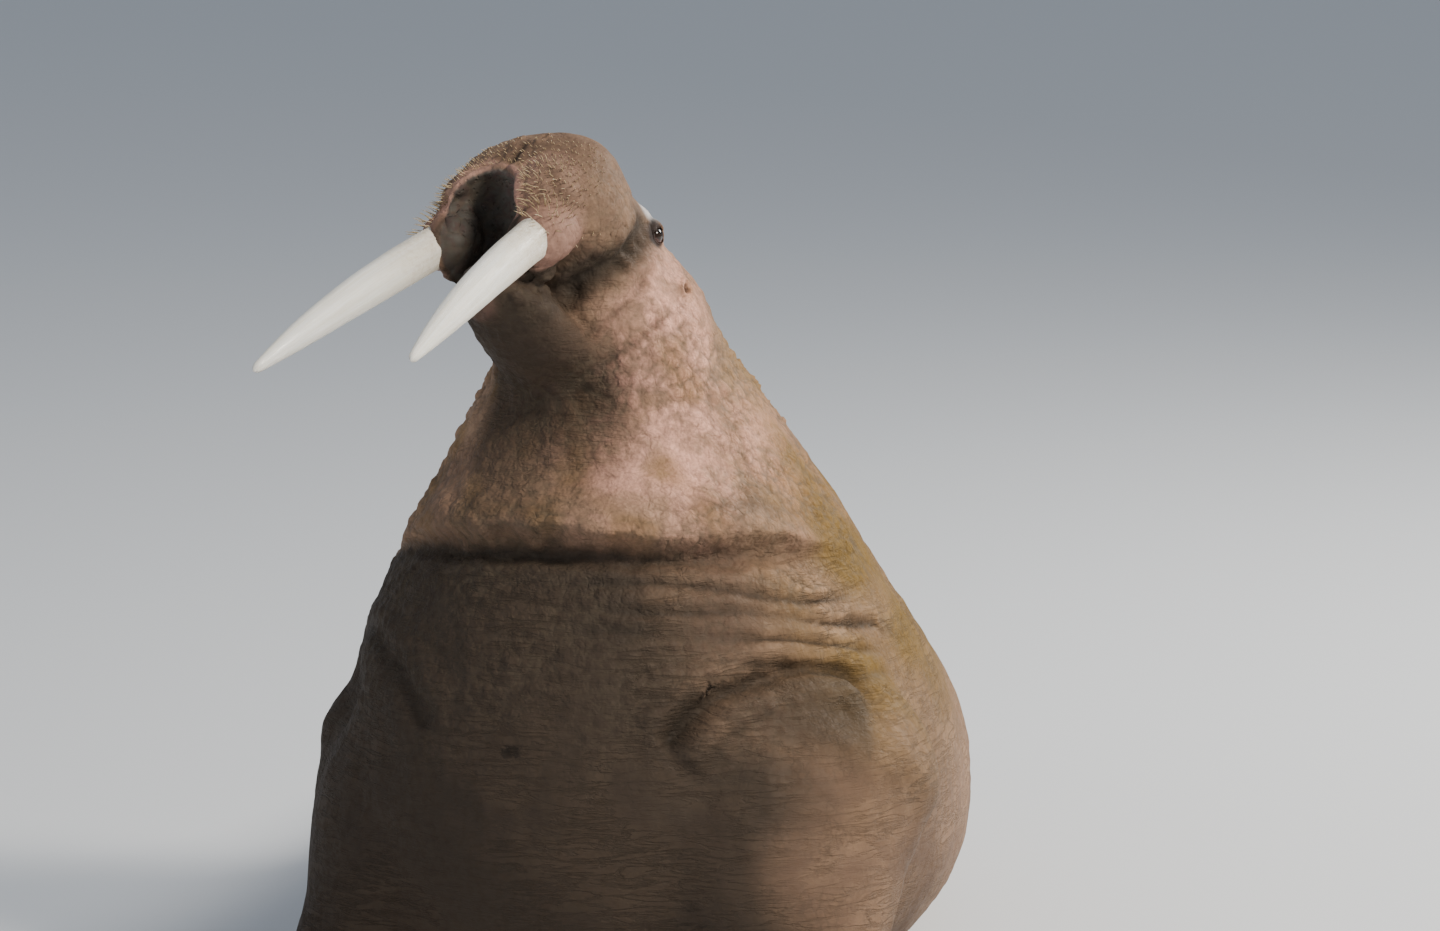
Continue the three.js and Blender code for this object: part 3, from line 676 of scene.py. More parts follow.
# %% Creases of the head
HEAD_CREASES = (
    # depth, width, swelling beside it, and its line in the mirrored head frame
    (0.017, 0.020, 0.006, (0.150, -0.174, 0.060), (0.150, -0.178, 0.010), (0.131, -0.188, -0.067),
     (0.104, -0.185, -0.104), (0.066, -0.168, -0.128)),
    (0.006, 0.009, 0.002, (0.172, -0.120, 0.020), (0.160, -0.110, -0.060), (0.120, -0.105, -0.130),
     (0.060, -0.095, -0.175)),
    (0.005, 0.008, 0.002, (0.190, -0.050, -0.020), (0.165, -0.045, -0.100), (0.115, -0.040, -0.165),
     (0.040, -0.035, -0.200)),
    (0.005, 0.007, 0.002, (0.000, -0.262, 0.118), (0.050, -0.258, 0.108), (0.095, -0.250, 0.078),
     (0.130, -0.245, 0.030)),
    (0.004, 0.006, 0.002, (0.000, -0.222, 0.136), (0.050, -0.218, 0.128), (0.100, -0.212, 0.098),
     (0.140, -0.205, 0.045)),
    (0.004, 0.006, 0.001, (0.000, -0.300, 0.098), (0.040, -0.298, 0.088), (0.078, -0.290, 0.062)),
    (0.004, 0.005, 0.002, (0.152, -0.178, 0.118), (0.160, -0.150, 0.080), (0.163, -0.112, 0.076),
     (0.160, -0.086, 0.098)),
    (0.004, 0.005, 0.002, (0.130, -0.172, 0.152), (0.140, -0.135, 0.160), (0.148, -0.095, 0.148)),
    (0.006, 0.008, 0.002, (0.000, -0.395, 0.045), (0.000, -0.405, 0.000), (0.000, -0.400, -0.050)),
    (0.003, 0.009, 0.002, (0.100, -0.401, -0.047), (0.117, -0.394, -0.054), (0.133, -0.375, -0.076),
     (0.143, -0.356, -0.082), (0.150, -0.325, -0.090), (0.139, -0.285, -0.090)),
)
DEEP_CREASE = 0.007
places = points_of(skin)
mirrored, _ = mirrored_head(places)
shift = np.zeros(len(places))
for i, (depth, width, swelling, *line) in enumerate(HEAD_CREASES):
    gap, share = distance_to_line(mirrored, line)
    gap = gap + 0.25 * width * waves(places, 0.045, 90 + i)
    ends = 1 - 0.7 * ramp(np.abs(share - 0.5), 0.38, 0.5)
    shift -= depth * ends * hump(gap, 0, width)
    shift += swelling * ends * hump(gap, 2.2 * width, 0.9 * width)
    crease = np.maximum(crease, ends * hump(gap, 0, 0.85 * width) * min(depth / DEEP_CREASE, 1))
push_out(skin, shift * (1 - ramp(lid_skin, 0.1, 0.6)))
print(len(HEAD_CREASES), "creases pressed into each side of the head")

# %% Full cheeks of the muzzle and brows
CHEEKS = (
    # middle in the mirrored head frame, how wide, how high
    ((0.150, -0.275, -0.010), 0.070, 0.014),
    ((0.120, -0.330, -0.060), 0.050, 0.006),
    ((0.060, -0.060, -0.215), 0.060, -0.008),
    ((0.122, -0.174, 0.120), 0.032, 0.015),
)
mirrored, _ = mirrored_head(points_of(skin))
shift = sum(high * hump(distance_to(mirrored, middle_at), 0, wide) for middle_at, wide, high in CHEEKS)
push_out(skin, shift)
print("cheeks swell by", round(float(shift.max()), 4), "m")

# %% Nostrils, ears and lips
TROUGH_AT = Vector((0, -0.240, -0.178))
TROUGH_RADII = Vector((0.062, 0.076, 0.044))
TROUGH_TILT = -28
NOSTRIL_RADII, NOSTRIL_TILT = (0.009, 0.019, 0.022), 25
EAR_RADII = (0.022, 0.010, 0.013)


def ball_measure(local, at, radii, tilt=0):
    """How far a place is from a stretched ball's middle, as a share of its radius."""
    turned = (local - np.array(at)) @ np.array(turn(tilt, "X"))
    return np.linalg.norm(turned / np.array(radii), axis=1)


places = points_of(skin)
mirrored, _ = mirrored_head(places)
nostril = ball_measure(mirrored, NOSTRIL_AT, NOSTRIL_RADII, NOSTRIL_TILT)
ear = ball_measure(mirrored, EAR_AT, EAR_RADII)
in_mouth = np.minimum(
    ball_measure(in_head_frame(places), MOUTH_AT, MOUTH_RADII, MOUTH_TILT),
    ball_measure(mirrored, TROUGH_AT, TROUGH_RADII, TROUGH_TILT),
)
on_muzzle = ramp(-mirrored[:, 1], 0.16, 0.22)
shift = -0.014 * (1 - ramp(nostril, 0.55, 1.05)) + 0.0035 * hump(nostril, 1.35, 0.22)
shift += -0.011 * (1 - ramp(ear, 0.5, 1.0)) + 0.0045 * hump(ear, 1.45, 0.28)
shift += on_muzzle * 0.0045 * hump(in_mouth, 1.11, 0.06)
shift -= on_muzzle * 0.0030 * hump(in_mouth, 1.30, 0.05)
push_out(skin, shift)
# painted shade in the nostrils and ear openings
pit = np.maximum(1 - ramp(nostril, 0.7, 1.1), 1 - ramp(ear, 0.6, 1.0))
print("nostrils, ears and lips are shaped")

# %% A ring of gum round each tusk's root
mirrored, _ = mirrored_head(points_of(skin))
from_exit = mirrored - np.array(TUSK_EXIT)
along_exit = from_exit @ np.array(TUSK_WAY)
from_axis = np.linalg.norm(from_exit - np.outer(along_exit, np.array(TUSK_WAY)), axis=1)
near_exit = 1 - ramp(np.abs(along_exit), 0.045, 0.075)
swell = 0.009 * near_exit * hump(from_axis, 0.047, 0.011) - 0.005 * near_exit * hump(from_axis, 0.070, 0.010)
push_out(skin, swell)
print("the gum swells round", int((near_exit * (from_axis < 0.06) > 0.5).sum()), "points")

# %% The belly lies flat on the floor
CLEARANCE = 0.0003
places = points_of(skin)
print("the lowest point was", round(float(places[:, 2].min()), 4), "m from the floor")
places[:, 2] = np.maximum(places[:, 2], CLEARANCE)
move_points(skin, places)

# %% [markdown]
# ## What the hide's material is told
# The material needs to know where the hide is folded, pink, golden or wet, and where shade and highlights are
# painted into its colour. Each of these is one number for each point of the skin, worked out from its place, so
# the colours follow the body and not the camera.

# %% Masks of the trunk
trunk, local = in_frames(skin)
mirrored, side_of = mirrored_head(points_of(skin))
off_head = 1 - ramp(-local[:, 1], 0.0, 0.1)
upper = ramp(trunk[:, 2], 0.82, 1.00)
neck_pink = upper * (1 - ramp(-local[:, 1], 0.05, 0.2)) * np.clip(0.75 + 0.5 * waves(trunk, 0.26, 3), 0, 1)
neck_pink *= ramp(trunk[:, 0] + 0.4 * trunk[:, 1], -0.28, 0.02)
back_gold = ramp(trunk[:, 1] + 0.9 * trunk[:, 0], -0.05, 0.4) * ramp(trunk[:, 2], 0.3, 0.7)
back_gold *= np.clip(0.85 + 0.35 * waves(trunk, 0.2, 5), 0, 1) * off_head
neck_gold = 0.55 * upper * np.clip(0.9 * waves(trunk, 0.11, 8), 0, 1) * off_head
# painted shade below the collar, strongest on the chest and fading towards the back
backward = trunk[:, 1] + 0.9 * np.maximum(trunk[:, 0], -0.12) + 0.05 * waves(trunk, 0.22, 9)
under_collar = below_collar * (1 - ramp(backward, -0.30, 0.26))
# painted shade on the arm's lobe, low on the chest and on faces that look downwards
lobe_shade = 0.72 * in_lobe * ramp(trunk[:, 2], 0.45, 0.60)
low_down = (1 - ramp(trunk[:, 2], 0.40, 0.72)) * (1 - ramp(trunk[:, 1], 0.1, 0.5))
facing_down = ramp(-points_of(skin, "normal")[:, 2], -0.35, 0.75)
print("the collar shades", int((under_collar > 0.5).sum()), "points")

# %% Masks of the head
# a darker round patch round each eye
EYE_DARK_AT = EYE_AT + Vector((0, -0.009, -0.009))
# a painted highlight on the skin in front of and above each eye
BROW_HIGHLIGHT_AT = EYE_AT + Vector((-0.002, -0.044, 0.018))
crown = mirrored[:, 2]
# painted shade under the jaw, at the throat and along the crease behind the muzzle
throat = ramp(-crown, 0.06, 0.18) * ramp(mirrored[:, 1], -0.31, -0.24) * (1 - ramp(mirrored[:, 1], 0.0, 0.2))
throat *= 1 - ramp(mirrored[:, 0], 0.12, 0.20)
throat = np.maximum(throat, hump(distance_to_line(mirrored, HEAD_CREASES[0][3:])[0], 0.014, 0.034))
# painted shade in the corners of the mouth
corner = 1 - ramp(ball_measure(mirrored, CORNER_AT, CORNER_RADII), 1.05, 1.35)
pad = 1 - ramp(ball_measure(mirrored, PAD_AT, PAD_RADII * 1.03), 1.0, 1.12)
inner_pad = pad * (1 - ramp(in_mouth, 1.30, 1.62))
on_ball = ramp(-mirrored[:, 1], 0.17, 0.23)
mouth_inside = (1 - ramp(in_mouth, 1.01, 1.07)) * on_muzzle
# painted shade on the far wall of the open mouth
far_wall = ramp(-local[:, 0], -0.01, 0.05)
gum = near_exit * (1 - ramp(from_axis, 0.046, 0.066))
outer_side = ramp(mirrored[:, 0], 0.080, 0.112)
socket_shade = gum * (1 - outer_side) * (1 - mouth_inside)
gum *= outer_side * (1 - corner) * (1 - mouth_inside)
lip = on_muzzle * hump(in_mouth, 1.12, 0.06) * (1 - mouth_inside) * (1 - 0.6 * ramp(-crown, 0.17, 0.20))
lip *= (1 - corner) * np.where(side_of > 0, 1.0, 0.6) * (1 - socket_shade)
# all of these are painted shade, and the muzzle ball is made darker as well
shade = np.maximum.reduce([under_collar, 0.92 * throat, lobe_shade, corner, socket_shade])
shade += 0.30 * facing_down * (1 - on_ball) * (1 - 0.8 * upper) + 0.38 * low_down
shade += 0.38 * on_ball * (1 - inner_pad)
print("the mouth covers", int((mouth_inside > 0.5).sum()), "points")

# %% One layer for each mask
layers = {
    "crease": crease,
    "pink": np.maximum(neck_pink, 0.25 * pad + 0.85 * inner_pad),
    "gold": np.maximum(back_gold, neck_gold),
    # painted shade, and inside the mouth only on its far wall
    "shade": shade * (1 - mouth_inside) + 0.84 * mouth_inside * far_wall,
    "pad": pad,
    "mouth": mouth_inside,
    "gum": np.maximum(0.75 * lip, 0.50 * gum),
    "gaps": gap_shade * np.clip(warty, 0, 1),
    "pit": pit,
    "eye_dark": 1 - ramp(distance_to(mirrored, EYE_DARK_AT), 0.026, 0.040),
    "brow": 1 - ramp(distance_to(mirrored, BROW_HIGHLIGHT_AT), 0.018, 0.034),
    "folded": np.maximum((1 - upper) * off_head, 0.8 * throat * (1 - mouth_inside)),
    "warts": np.maximum(on_neck, on_shoulder),
}
for name, weights in layers.items():
    paint(skin, name, weights)
triangles = sum(len(face.vertices) - 2 for face in skin.data.polygons)
print("skin has", triangles, "triangles and", len(layers), "layers")

# %% [markdown]
# ## Short names for shader nodes
# A material is a tree of nodes joined by wires. Here a wire can be added, subtracted and multiplied like a
# number, and each sum makes its Math node, so that a pattern reads like a formula.

# %% Wires and nodes
def add_node(tree, kind, **settings):
    node = tree.nodes.new(kind)
    for name, value in settings.items():
        setattr(node, name, value)
    return node


def plug(given, socket):
    """Gives a socket a wire, a number, a place or a colour."""
    if isinstance(given, Wire):
        given.tree.links.new(given.socket, socket)
    else:
        socket.default_value = (*given, 1) if socket.type == "RGBA" else given


def node_with(tree, kind, output, settings=(), **inputs):
    """The wire of one output of a new node, with its settings and its inputs given by name."""
    node = add_node(tree, kind, **dict(settings))
    for name, given in inputs.items():
        plug(given, node.inputs[name.replace("_", " ")])
    return Wire(tree, node.outputs[output])


class Wire:
    """A node's output in a tree."""

    def __init__(self, tree, socket):
        self.tree = tree
        self.socket = socket

    def maths(self, operation, *given):
        node = add_node(self.tree, "ShaderNodeMath", operation=operation)
        for value, socket in zip(given, node.inputs):
            plug(value, socket)
        return Wire(self.tree, node.outputs[0])

    def __add__(self, other):
        return self.maths("ADD", self, other)

    def __sub__(self, other):
        return self.maths("SUBTRACT", self, other)

    def __rsub__(self, other):
        return self.maths("SUBTRACT", other, self)

    def __mul__(self, other):
        return self.maths("MULTIPLY", self, other)

    def __abs__(self):
        return self.maths("ABSOLUTE", self)


print("wires can be added, subtracted and multiplied")

# %% Colours, patterns and materials in short
def mixed(share, first, second):
    """Two colours mixed by the share of the second."""
    node = add_node(share.tree, "ShaderNodeMix", data_type="RGBA")
    for given, index in ((share, 0), (first, 6), (second, 7)):
        plug(given, node.inputs[index])
    return Wire(share.tree, node.outputs[2])


def covered(colour, *coats):
    """A colour with coats of other colours laid over it, each with its share."""
    for share, coat in coats:
        colour = mixed(share, colour, coat)
    return colour


def attribute(tree, name):
    return node_with(tree, "ShaderNodeAttribute", "Fac", {"attribute_name": name})


def stretched(place, scale, turned=(0, 0, 0)):
    turned = [math.radians(v) for v in turned]
    return node_with(place.tree, "ShaderNodeMapping", "Vector", Vector=place, Scale=scale, Rotation=turned)


def noise(place, scale, detail=4.0, roughness=0.55, distortion=0.0):
    inputs = {"Scale": scale, "Detail": detail, "Roughness": roughness, "Distortion": distortion}
    return node_with(place.tree, "ShaderNodeTexNoise", "Fac", Vector=place, **inputs)


def cells(place, scale, feature="F1", **inputs):
    inputs |= {"Vector": place, "Scale": scale}
    return node_with(place.tree, "ShaderNodeTexVoronoi", "Distance", {"feature": feature}, **inputs)


def between(value, low, high, to_low=0.0, to_high=1.0):
    """A value stretched from one range to another, smooth and clamped."""
    settings = {"interpolation_type": "SMOOTHSTEP"}
    ends = {"From_Min": low, "From_Max": high, "To_Min": to_low, "To_Max": to_high}
    return node_with(value.tree, "ShaderNodeMapRange", "Result", settings, Value=value, **ends)


def spread(mask, low, high):
    """A mask that runs from low to high instead of from 0 to 1."""
    return between(mask, 0, 1, low, high)


def bump(height, strength, distance):
    inputs = {"Strength": strength, "Distance": distance, "Height": height}
    return node_with(height.tree, "ShaderNodeBump", "Normal", **inputs)


def coordinates(tree, kind):
    return node_with(tree, "ShaderNodeTexCoord", kind)


def unwrapped(place):
    """The UV map of a piece, and its share that runs along a tusk or from pole to pole of an eyeball."""
    wrapped = coordinates(place.tree, "UV")
    return wrapped, node_with(place.tree, "ShaderNodeSeparateXYZ", "Y", Vector=wrapped)


def new_material(name):
    """A material, its shader and its Object coordinates."""
    material = bpy.data.materials.new(name)
    material.use_nodes = True
    tree = material.node_tree
    return material, tree.nodes["Principled BSDF"], coordinates(tree, "Object")


def feed(shader, **inputs):
    """Gives the shader's own sockets wires, numbers or colours."""
    for name, given in inputs.items():
        plug(given, shader.inputs[name.replace("_", " ")])


print("node helpers are ready")

# %% [markdown]
# ## Node groups that several materials share
# Unevenness, cracks and blotches are the same kind of pattern on hide, horn and ivory, only at other sizes.
# Each is built once as a node group with its own inputs and gives back a mask or a height.

# %% Making and using a group
def scaled(place, size):
    return node_with(place.tree, "ShaderNodeVectorMath", 0, {"operation": "SCALE"}, Vector=place, Scale=size)


def new_group(name):
    """An empty node group that reads a place and a size, and the place made larger or smaller by the size."""
    group = bpy.data.node_groups.new(name, "ShaderNodeTree")
    group.interface.new_socket("Place", in_out="INPUT", socket_type="NodeSocketVector")
    size_socket = group.interface.new_socket("Size", in_out="INPUT", socket_type="NodeSocketFloat")
    size_socket.default_value = 1.0
    place, size = (Wire(group, socket) for socket in add_node(group, "NodeGroupInput").outputs[:2])
    return group, scaled(place, size)


def put_out(group, **results):
    for name in results:
        group.interface.new_socket(name, in_out="OUTPUT", socket_type="NodeSocketFloat")
    output = add_node(group, "NodeGroupOutput")
    for name, wire in results.items():
        plug(wire, output.inputs[name])


def pattern(group, place, size=1.0):
    """A group used in a material, with its outputs by name."""
    node = add_node(place.tree, "ShaderNodeGroup", node_tree=group)
    plug(place, node.inputs["Place"])
    plug(size, node.inputs["Size"])
    return {socket.name: Wire(place.tree, socket) for socket in node.outputs}


print("groups can be made and used")

# %% Shared pattern groups
warty_hide, place = new_group("warty_hide")
shaken = node_with(warty_hide, "ShaderNodeTexNoise", "Color", Vector=place, Scale=30, Detail=3)
sum_node = add_node(warty_hide, "ShaderNodeVectorMath", operation="ADD")
for wire, socket in zip((place, scaled(shaken, 0.022)), sum_node.inputs):
    plug(wire, socket)
bent = Wire(warty_hide, sum_node.outputs[0])
wide_cells = cells(bent, 42, "SMOOTH_F1", Smoothness=0.6)
fine_cells = cells(bent, 125, "SMOOTH_F1", Smoothness=0.5)
pores = noise(place, 420, 3)
broken = between(noise(place, 16, 3), 0.42, 0.62)
cracks = between(cells(bent, 62, "DISTANCE_TO_EDGE"), 0.0, 0.22, 1.0, 0.0) * broken
put_out(
    warty_hide,
    Height=wide_cells * -0.65 + fine_cells * -0.42 + pores * 0.10 + cracks * -0.16,
    Cracks=cracks,
)

blotches, place = new_group("blotches")
broad = noise(place, 5.5, 6, 0.62, 0.6)
speckle = noise(place, 55, 5, 0.65, 0.3)
put_out(blotches, Mask=between(broad, 0.36, 0.64), Specks=between(speckle, 0.42, 0.66))

grain, place = new_group("grain")
streak = noise(place, 9, 5, 0.6, 0.4)
thin_cracks = between(abs(noise(place, 26, 2, 0.5) - 0.5), 0.0, 0.025, 1, 0)
put_out(grain, Height=streak - thin_cracks * 0.5, Streaks=between(streak, 0.35, 0.68))
print("three pattern groups are made")

# %% [markdown]
# ## The hide
# The hide is thick, dry leather with hardly any hair: brown on the muzzle, pink where warm blood reaches the
# neck and golden over the back and shoulders. Painted shade darkens it in the creases, cracks and gaps, in the
# nostrils and ears, in the open mouth and below the collar, and a painted highlight lightens the skin above the
# eyes. The colours are laid over each other by the masks, and one bump adds warts, cracks, fine wrinkles and the
# pits of the bristles.

# %% Hide colours
HIDE_BROWN = (0.225, 0.135, 0.088)
HIDE_TAN = (0.375, 0.232, 0.144)
HIDE_PINK = (0.740, 0.390, 0.285)
HIDE_GOLD = (0.175, 0.103, 0.022)
# painted shade in the gaps between the bosses
GAP_SHADE_BROWN = (0.090, 0.068, 0.045)
# the brown of painted shade, laid over the hide under the collar, in creases, cracks and wrinkle lines
SHADE_BROWN = (0.029, 0.023, 0.017)
PAD_TAN = (0.340, 0.205, 0.150)
GUM_PINK = (0.350, 0.190, 0.148)
# the inside of the open mouth: its red flesh, painted dark grey and dull as shade
MOUTH_SHADE_GREY = (0.185, 0.168, 0.145)
MOUTH_SHADED_RED = (0.185, 0.118, 0.106)
# a painted highlight above the eyes
BROW_HIGHLIGHT_GREY = (0.52, 0.51, 0.51)
EYE_BLACK = (0.018, 0.015, 0.015)
PIT_SHADE_BLACK = (0.012, 0.009, 0.009)
WRINKLE_TURN = (12, -3, 0)

hide, shader, place = new_material("hide")
on = {name: attribute(place.tree, name) for name in layers}
skin_cells = pattern(warty_hide, place)
spots = pattern(blotches, place)
small_spots = pattern(blotches, place, 3.1)
wrinkles = noise(stretched(place, (9, 9, 58), WRINKLE_TURN), 1.0, 5, 0.62, 0.5)
wrinkle_lines = between(abs(wrinkles - 0.5), 0.0, 0.07, 1, 0) * on["folded"]
wrinkle_lines = wrinkle_lines * spread(spots["Mask"], 0.25, 1)
colour = covered(
    mixed(spots["Mask"], HIDE_BROWN, HIDE_TAN),
    (on["pink"] * spread(small_spots["Mask"], 0.30, 1), HIDE_PINK),
    (on["pad"] * 0.5, PAD_TAN),
    (small_spots["Specks"] * 0.40, HIDE_BROWN),
    (on["gold"] * 0.95, HIDE_GOLD),
    # the inside of the mouth, painted dark as shade
    (on["mouth"], mixed(spots["Specks"], MOUTH_SHADE_GREY, MOUTH_SHADED_RED)),
    # painted shade: the shade layer, the cracks, the gaps between bosses, the fine wrinkle lines and the creases
    (on["shade"] * 0.91, SHADE_BROWN),
    (skin_cells["Cracks"] * 0.20, SHADE_BROWN),
    (on["gaps"] * 0.70, GAP_SHADE_BROWN),
    (wrinkle_lines * 0.22, SHADE_BROWN),
    (on["crease"] * 0.80, SHADE_BROWN),
    (on["gum"], GUM_PINK),
    # a painted highlight above the eyes
    (on["brow"] * 0.85, BROW_HIGHLIGHT_GREY),
    # a darker round patch round each eye
    (on["eye_dark"] * 0.92, EYE_BLACK),
    # painted shade in the nostrils and ear openings
    (on["pit"], PIT_SHADE_BLACK),
)
print("the hide has", len(layers), "masks")

# %% Hide roughness and relief
rough = spread(spots["Specks"], 0.62, 0.82) - on["mouth"] * 0.08 - on["gum"] * 0.22
fine_wrinkles = noise(stretched(place, (22, 22, 190), WRINKLE_TURN), 1.0, 3, 0.6, 0.3)
follicles = between(cells(place, 95), 0.12, 0.34, 1, 0) * on["pad"]
wart_share = spread(on["warts"], 0.14, 1.0) * (1.0 - on["mouth"])
height = skin_cells["Height"] * wart_share - wrinkle_lines * 0.32 + fine_wrinkles * 0.17 - follicles * 0.30
feed(shader, Base_Color=colour, Roughness=rough, Normal=bump(height, 0.85, 0.006), Specular_IOR_Level=0.13)
dress(skin, "hide", hide, *TRUNK_FLESH, *LIMB_FLESH, *HEAD_FLESH, *PAD_NODES)
print("the hide is on the skin")

# %% [markdown]
# ## Tusks
# A tusk is a long oval cone that bows a little and ends in a worn, blunt tip. A flat grid is rolled round the
# tusk's centre line and closed along its seam, which keeps the grid's UV map, so that the ivory's grain can run
# from the root to the tip.

# %% Two tusks
TUSK_LENGTH = 0.551
TUSK_HIDDEN, TUSK_SKIP = 0.080, 0.055
TUSK_SPLAY, TUSK_LEAN = math.radians(7.6), math.radians(12.4)
TUSK_BOW = 0.014
TUSK_DEEP, TUSK_WIDE = 0.039, 0.033
TUSK_TIP, TUSK_TAPER, TUSK_BLUNT = 0.2, 3.2, 0.972
TUSK_AROUND, TUSK_ROWS = 56, 64


def tusk_line(share):
    """Places and directions along a left tusk's centre line, in the head's frame."""
    along = np.array((math.sin(TUSK_SPLAY), -math.sin(TUSK_LEAN), -math.cos(TUSK_LEAN)))
    along /= np.linalg.norm(along)
    start = np.array(TUSK_EXIT) - along * TUSK_HIDDEN
    end = np.array(TUSK_EXIT) + along * TUSK_LENGTH
    bowed = (start + end) / 2 + (0, -2 * TUSK_BOW, 0)
    t = share[:, None]
    spots = (1 - t) ** 2 * start + 2 * t * (1 - t) * bowed + t**2 * end
    ways = 2 * (1 - t) * (bowed - start) + 2 * t * (end - bowed)
    return spots, ways / np.linalg.norm(ways, axis=1)[:, None]


def rolled_tusk(side_name, side, seed):
    """A grid rolled into one tusk, with its root and its tip closed."""
    bpy.ops.object.select_all(action="DESELECT")
    bpy.ops.mesh.primitive_grid_add(x_subdivisions=TUSK_AROUND, y_subdivisions=TUSK_ROWS, size=2)
    tusk = bpy.context.object
    tusk.name = f"ivory_tusk_{side_name}"
    flat = points_of(tusk)
    turned = (flat[:, 0] + 1) * math.pi
    share = 1 - (1 - TUSK_SKIP) * (1 - (flat[:, 1] + 1) / 2) ** 1.25
    spots, ways = tusk_line(share)
    aside = np.array((1.0, 0, 0)) - ways * ways[:, :1]
    aside /= np.linalg.norm(aside, axis=1)[:, None]
    front = np.cross(ways, aside)
    size = 1 - (1 - TUSK_TIP) * share**TUSK_TAPER
    size *= np.sqrt(np.clip(1 - ramp(share, TUSK_BLUNT, 1.0) ** 2, 0.0, 1))
    groove = 1 - 0.012 * np.cos(turned * 5 + 1.3) - 0.008 * np.cos(turned * 11 + share * 3)
    wear = 1 + 0.010 * waves(spots, 0.09, seed)
    rounded = size * np.where(size > 0.3, groove * wear, 1)
    shaped = spots + aside * (np.cos(turned) * TUSK_WIDE * rounded)[:, None]
    shaped += front * (np.sin(turned) * TUSK_DEEP * rounded)[:, None]
    move_points(tusk, shaped * (side, 1, 1))
    in_edit_mode(tusk)
    bpy.ops.mesh.remove_doubles(threshold=0.00001)
    bpy.ops.mesh.select_all(action="DESELECT")
    bpy.ops.mesh.select_non_manifold()
    bpy.ops.mesh.fill_holes(sides=0)
    face_outward(tusk)
    print(tusk.name, "has", len(tusk.data.polygons), "faces")
    return placed_in_head(tusk)


tusks = {"left": rolled_tusk("left", 1, 61), "right": rolled_tusk("right", -1, 62)}

# %% [markdown]
# ## Ivory
# Tusk ivory is creamy white, yellower near the root, with fine cracks and streaks along its length and a thin
# satin shine. The streaks read the tusk's own UV map, stretched along its length.

# %% Ivory material
ivory, shader, place = new_material("ivory")
wrapped, from_root = unwrapped(place)
lengthwise = stretched(wrapped, (2.6, 0.22, 1))
streaks = pattern(grain, lengthwise)
fine_streaks = pattern(grain, lengthwise, 3.4)
stains = pattern(blotches, place, 2.0)
colour = covered(
    mixed(streaks["Streaks"], (0.88, 0.85, 0.75), (0.96, 0.95, 0.90)),
    (fine_streaks["Streaks"] * 0.35, (0.70, 0.63, 0.48)),
    (between(from_root, 0.12, 0.42, 0.55, 0) * spread(stains["Specks"], 0.5, 1), (0.50, 0.37, 0.21)),
    (between(from_root, 0.85, 1.0) * 0.35, (0.74, 0.70, 0.60)),
)
rough = between(fine_streaks["Height"], 0.2, 0.8, 0.28, 0.46)
relief = bump(streaks["Height"] + fine_streaks["Height"] * 0.5, 0.45, 0.0012)
feed(shader, Base_Color=colour, Roughness=rough, Normal=relief, Coat_Weight=0.12)
feed(shader, Subsurface_Weight=0.06, Subsurface_Radius=(0.004, 0.003, 0.002))
for side_name, tusk in tusks.items():
    dress(tusk, "ivory", ivory, f"tusk_{side_name}")
print("ivory is on both tusks")

# %% [markdown]
# ## Eyes
# A walrus has small, dark, bulging eyes. Each is a ball with a slightly raised cornea on the side that looks
# out between the lids. Its colours lie in rings round the line of sight, so they read the ball's own UV map.

# %% Eyeballs
PUPIL_EDGE, IRIS_EDGE = (0.900, 0.915), (0.76, 0.70)
eye_material, shader, place = new_material("eye")
wrapped, from_pole = unwrapped(place)
veins = pattern(blotches, place, 9.0)
iris_streaks = noise(stretched(wrapped, (60, 6, 1)), 1.0, 3)
colour = covered(
    mixed(iris_streaks, (0.010, 0.006, 0.004), (0.030, 0.016, 0.009)),
    (between(from_pole, *PUPIL_EDGE), (0.002, 0.002, 0.002)),
    (between(from_pole, *IRIS_EDGE), mixed(veins["Specks"], (0.080, 0.040, 0.032), (0.045, 0.014, 0.012))),
)
feed(shader, Base_Color=colour, Roughness=spread(veins["Mask"], 0.06, 0.12))
feed(shader, Specular_IOR_Level=0.25, Coat_Weight=0.18, Coat_Roughness=0.05)
for side_name, side in SIDES:
    bpy.ops.object.select_all(action="DESELECT")
    bpy.ops.mesh.primitive_uv_sphere_add(segments=64, ring_count=40, radius=EYE_SIZE)
    eyeball = bpy.context.object
    eyeball.name = f"eyeball_{side_name}"
    ball = points_of(eyeball)
    cornea = ramp(ball[:, 2] / EYE_SIZE, 0.70, 1.0)
    move_points(eyeball, ball * (1 + 0.05 * cornea)[:, None])
    eyeball.data.transform(on_side(EYE_OUTWARD, side).to_track_quat("Z", "Y").to_matrix().to_4x4())
    eyeball.data.transform(Matrix.Translation(on_side(EYE_AT, side)))
    dress(placed_in_head(eyeball), "eye", eye_material, f"eye_{side_name}")
print("two eyeballs")

# %% [markdown]
# ## Tongue
# The tongue lies in the lower jaw. It is a copy of its solid, remeshed finely and smoothed, with a shallow
# groove along its middle, and its wet flesh is dark red with a coat of shine.

# %% Tongue and its flesh
tongue = copy_of("tongue")
tongue.name = "soft_tongue"
tongue.data.remesh_voxel_size = 0.0028
bpy.ops.object.voxel_remesh()
smooth(tongue, 8)
local = in_head_frame(points_of(tongue))
on_top = ramp(points_of(tongue, "normal") @ np.array(HEAD_TURN @ Vector((0, -0.5, 0.87))), 0.0, 0.6)
pressed = 0.006 * on_top * hump(local[:, 0], 0, 0.006) + 0.0012 * on_top * waves(local, 0.012, 15)
push_out(tongue, -pressed)

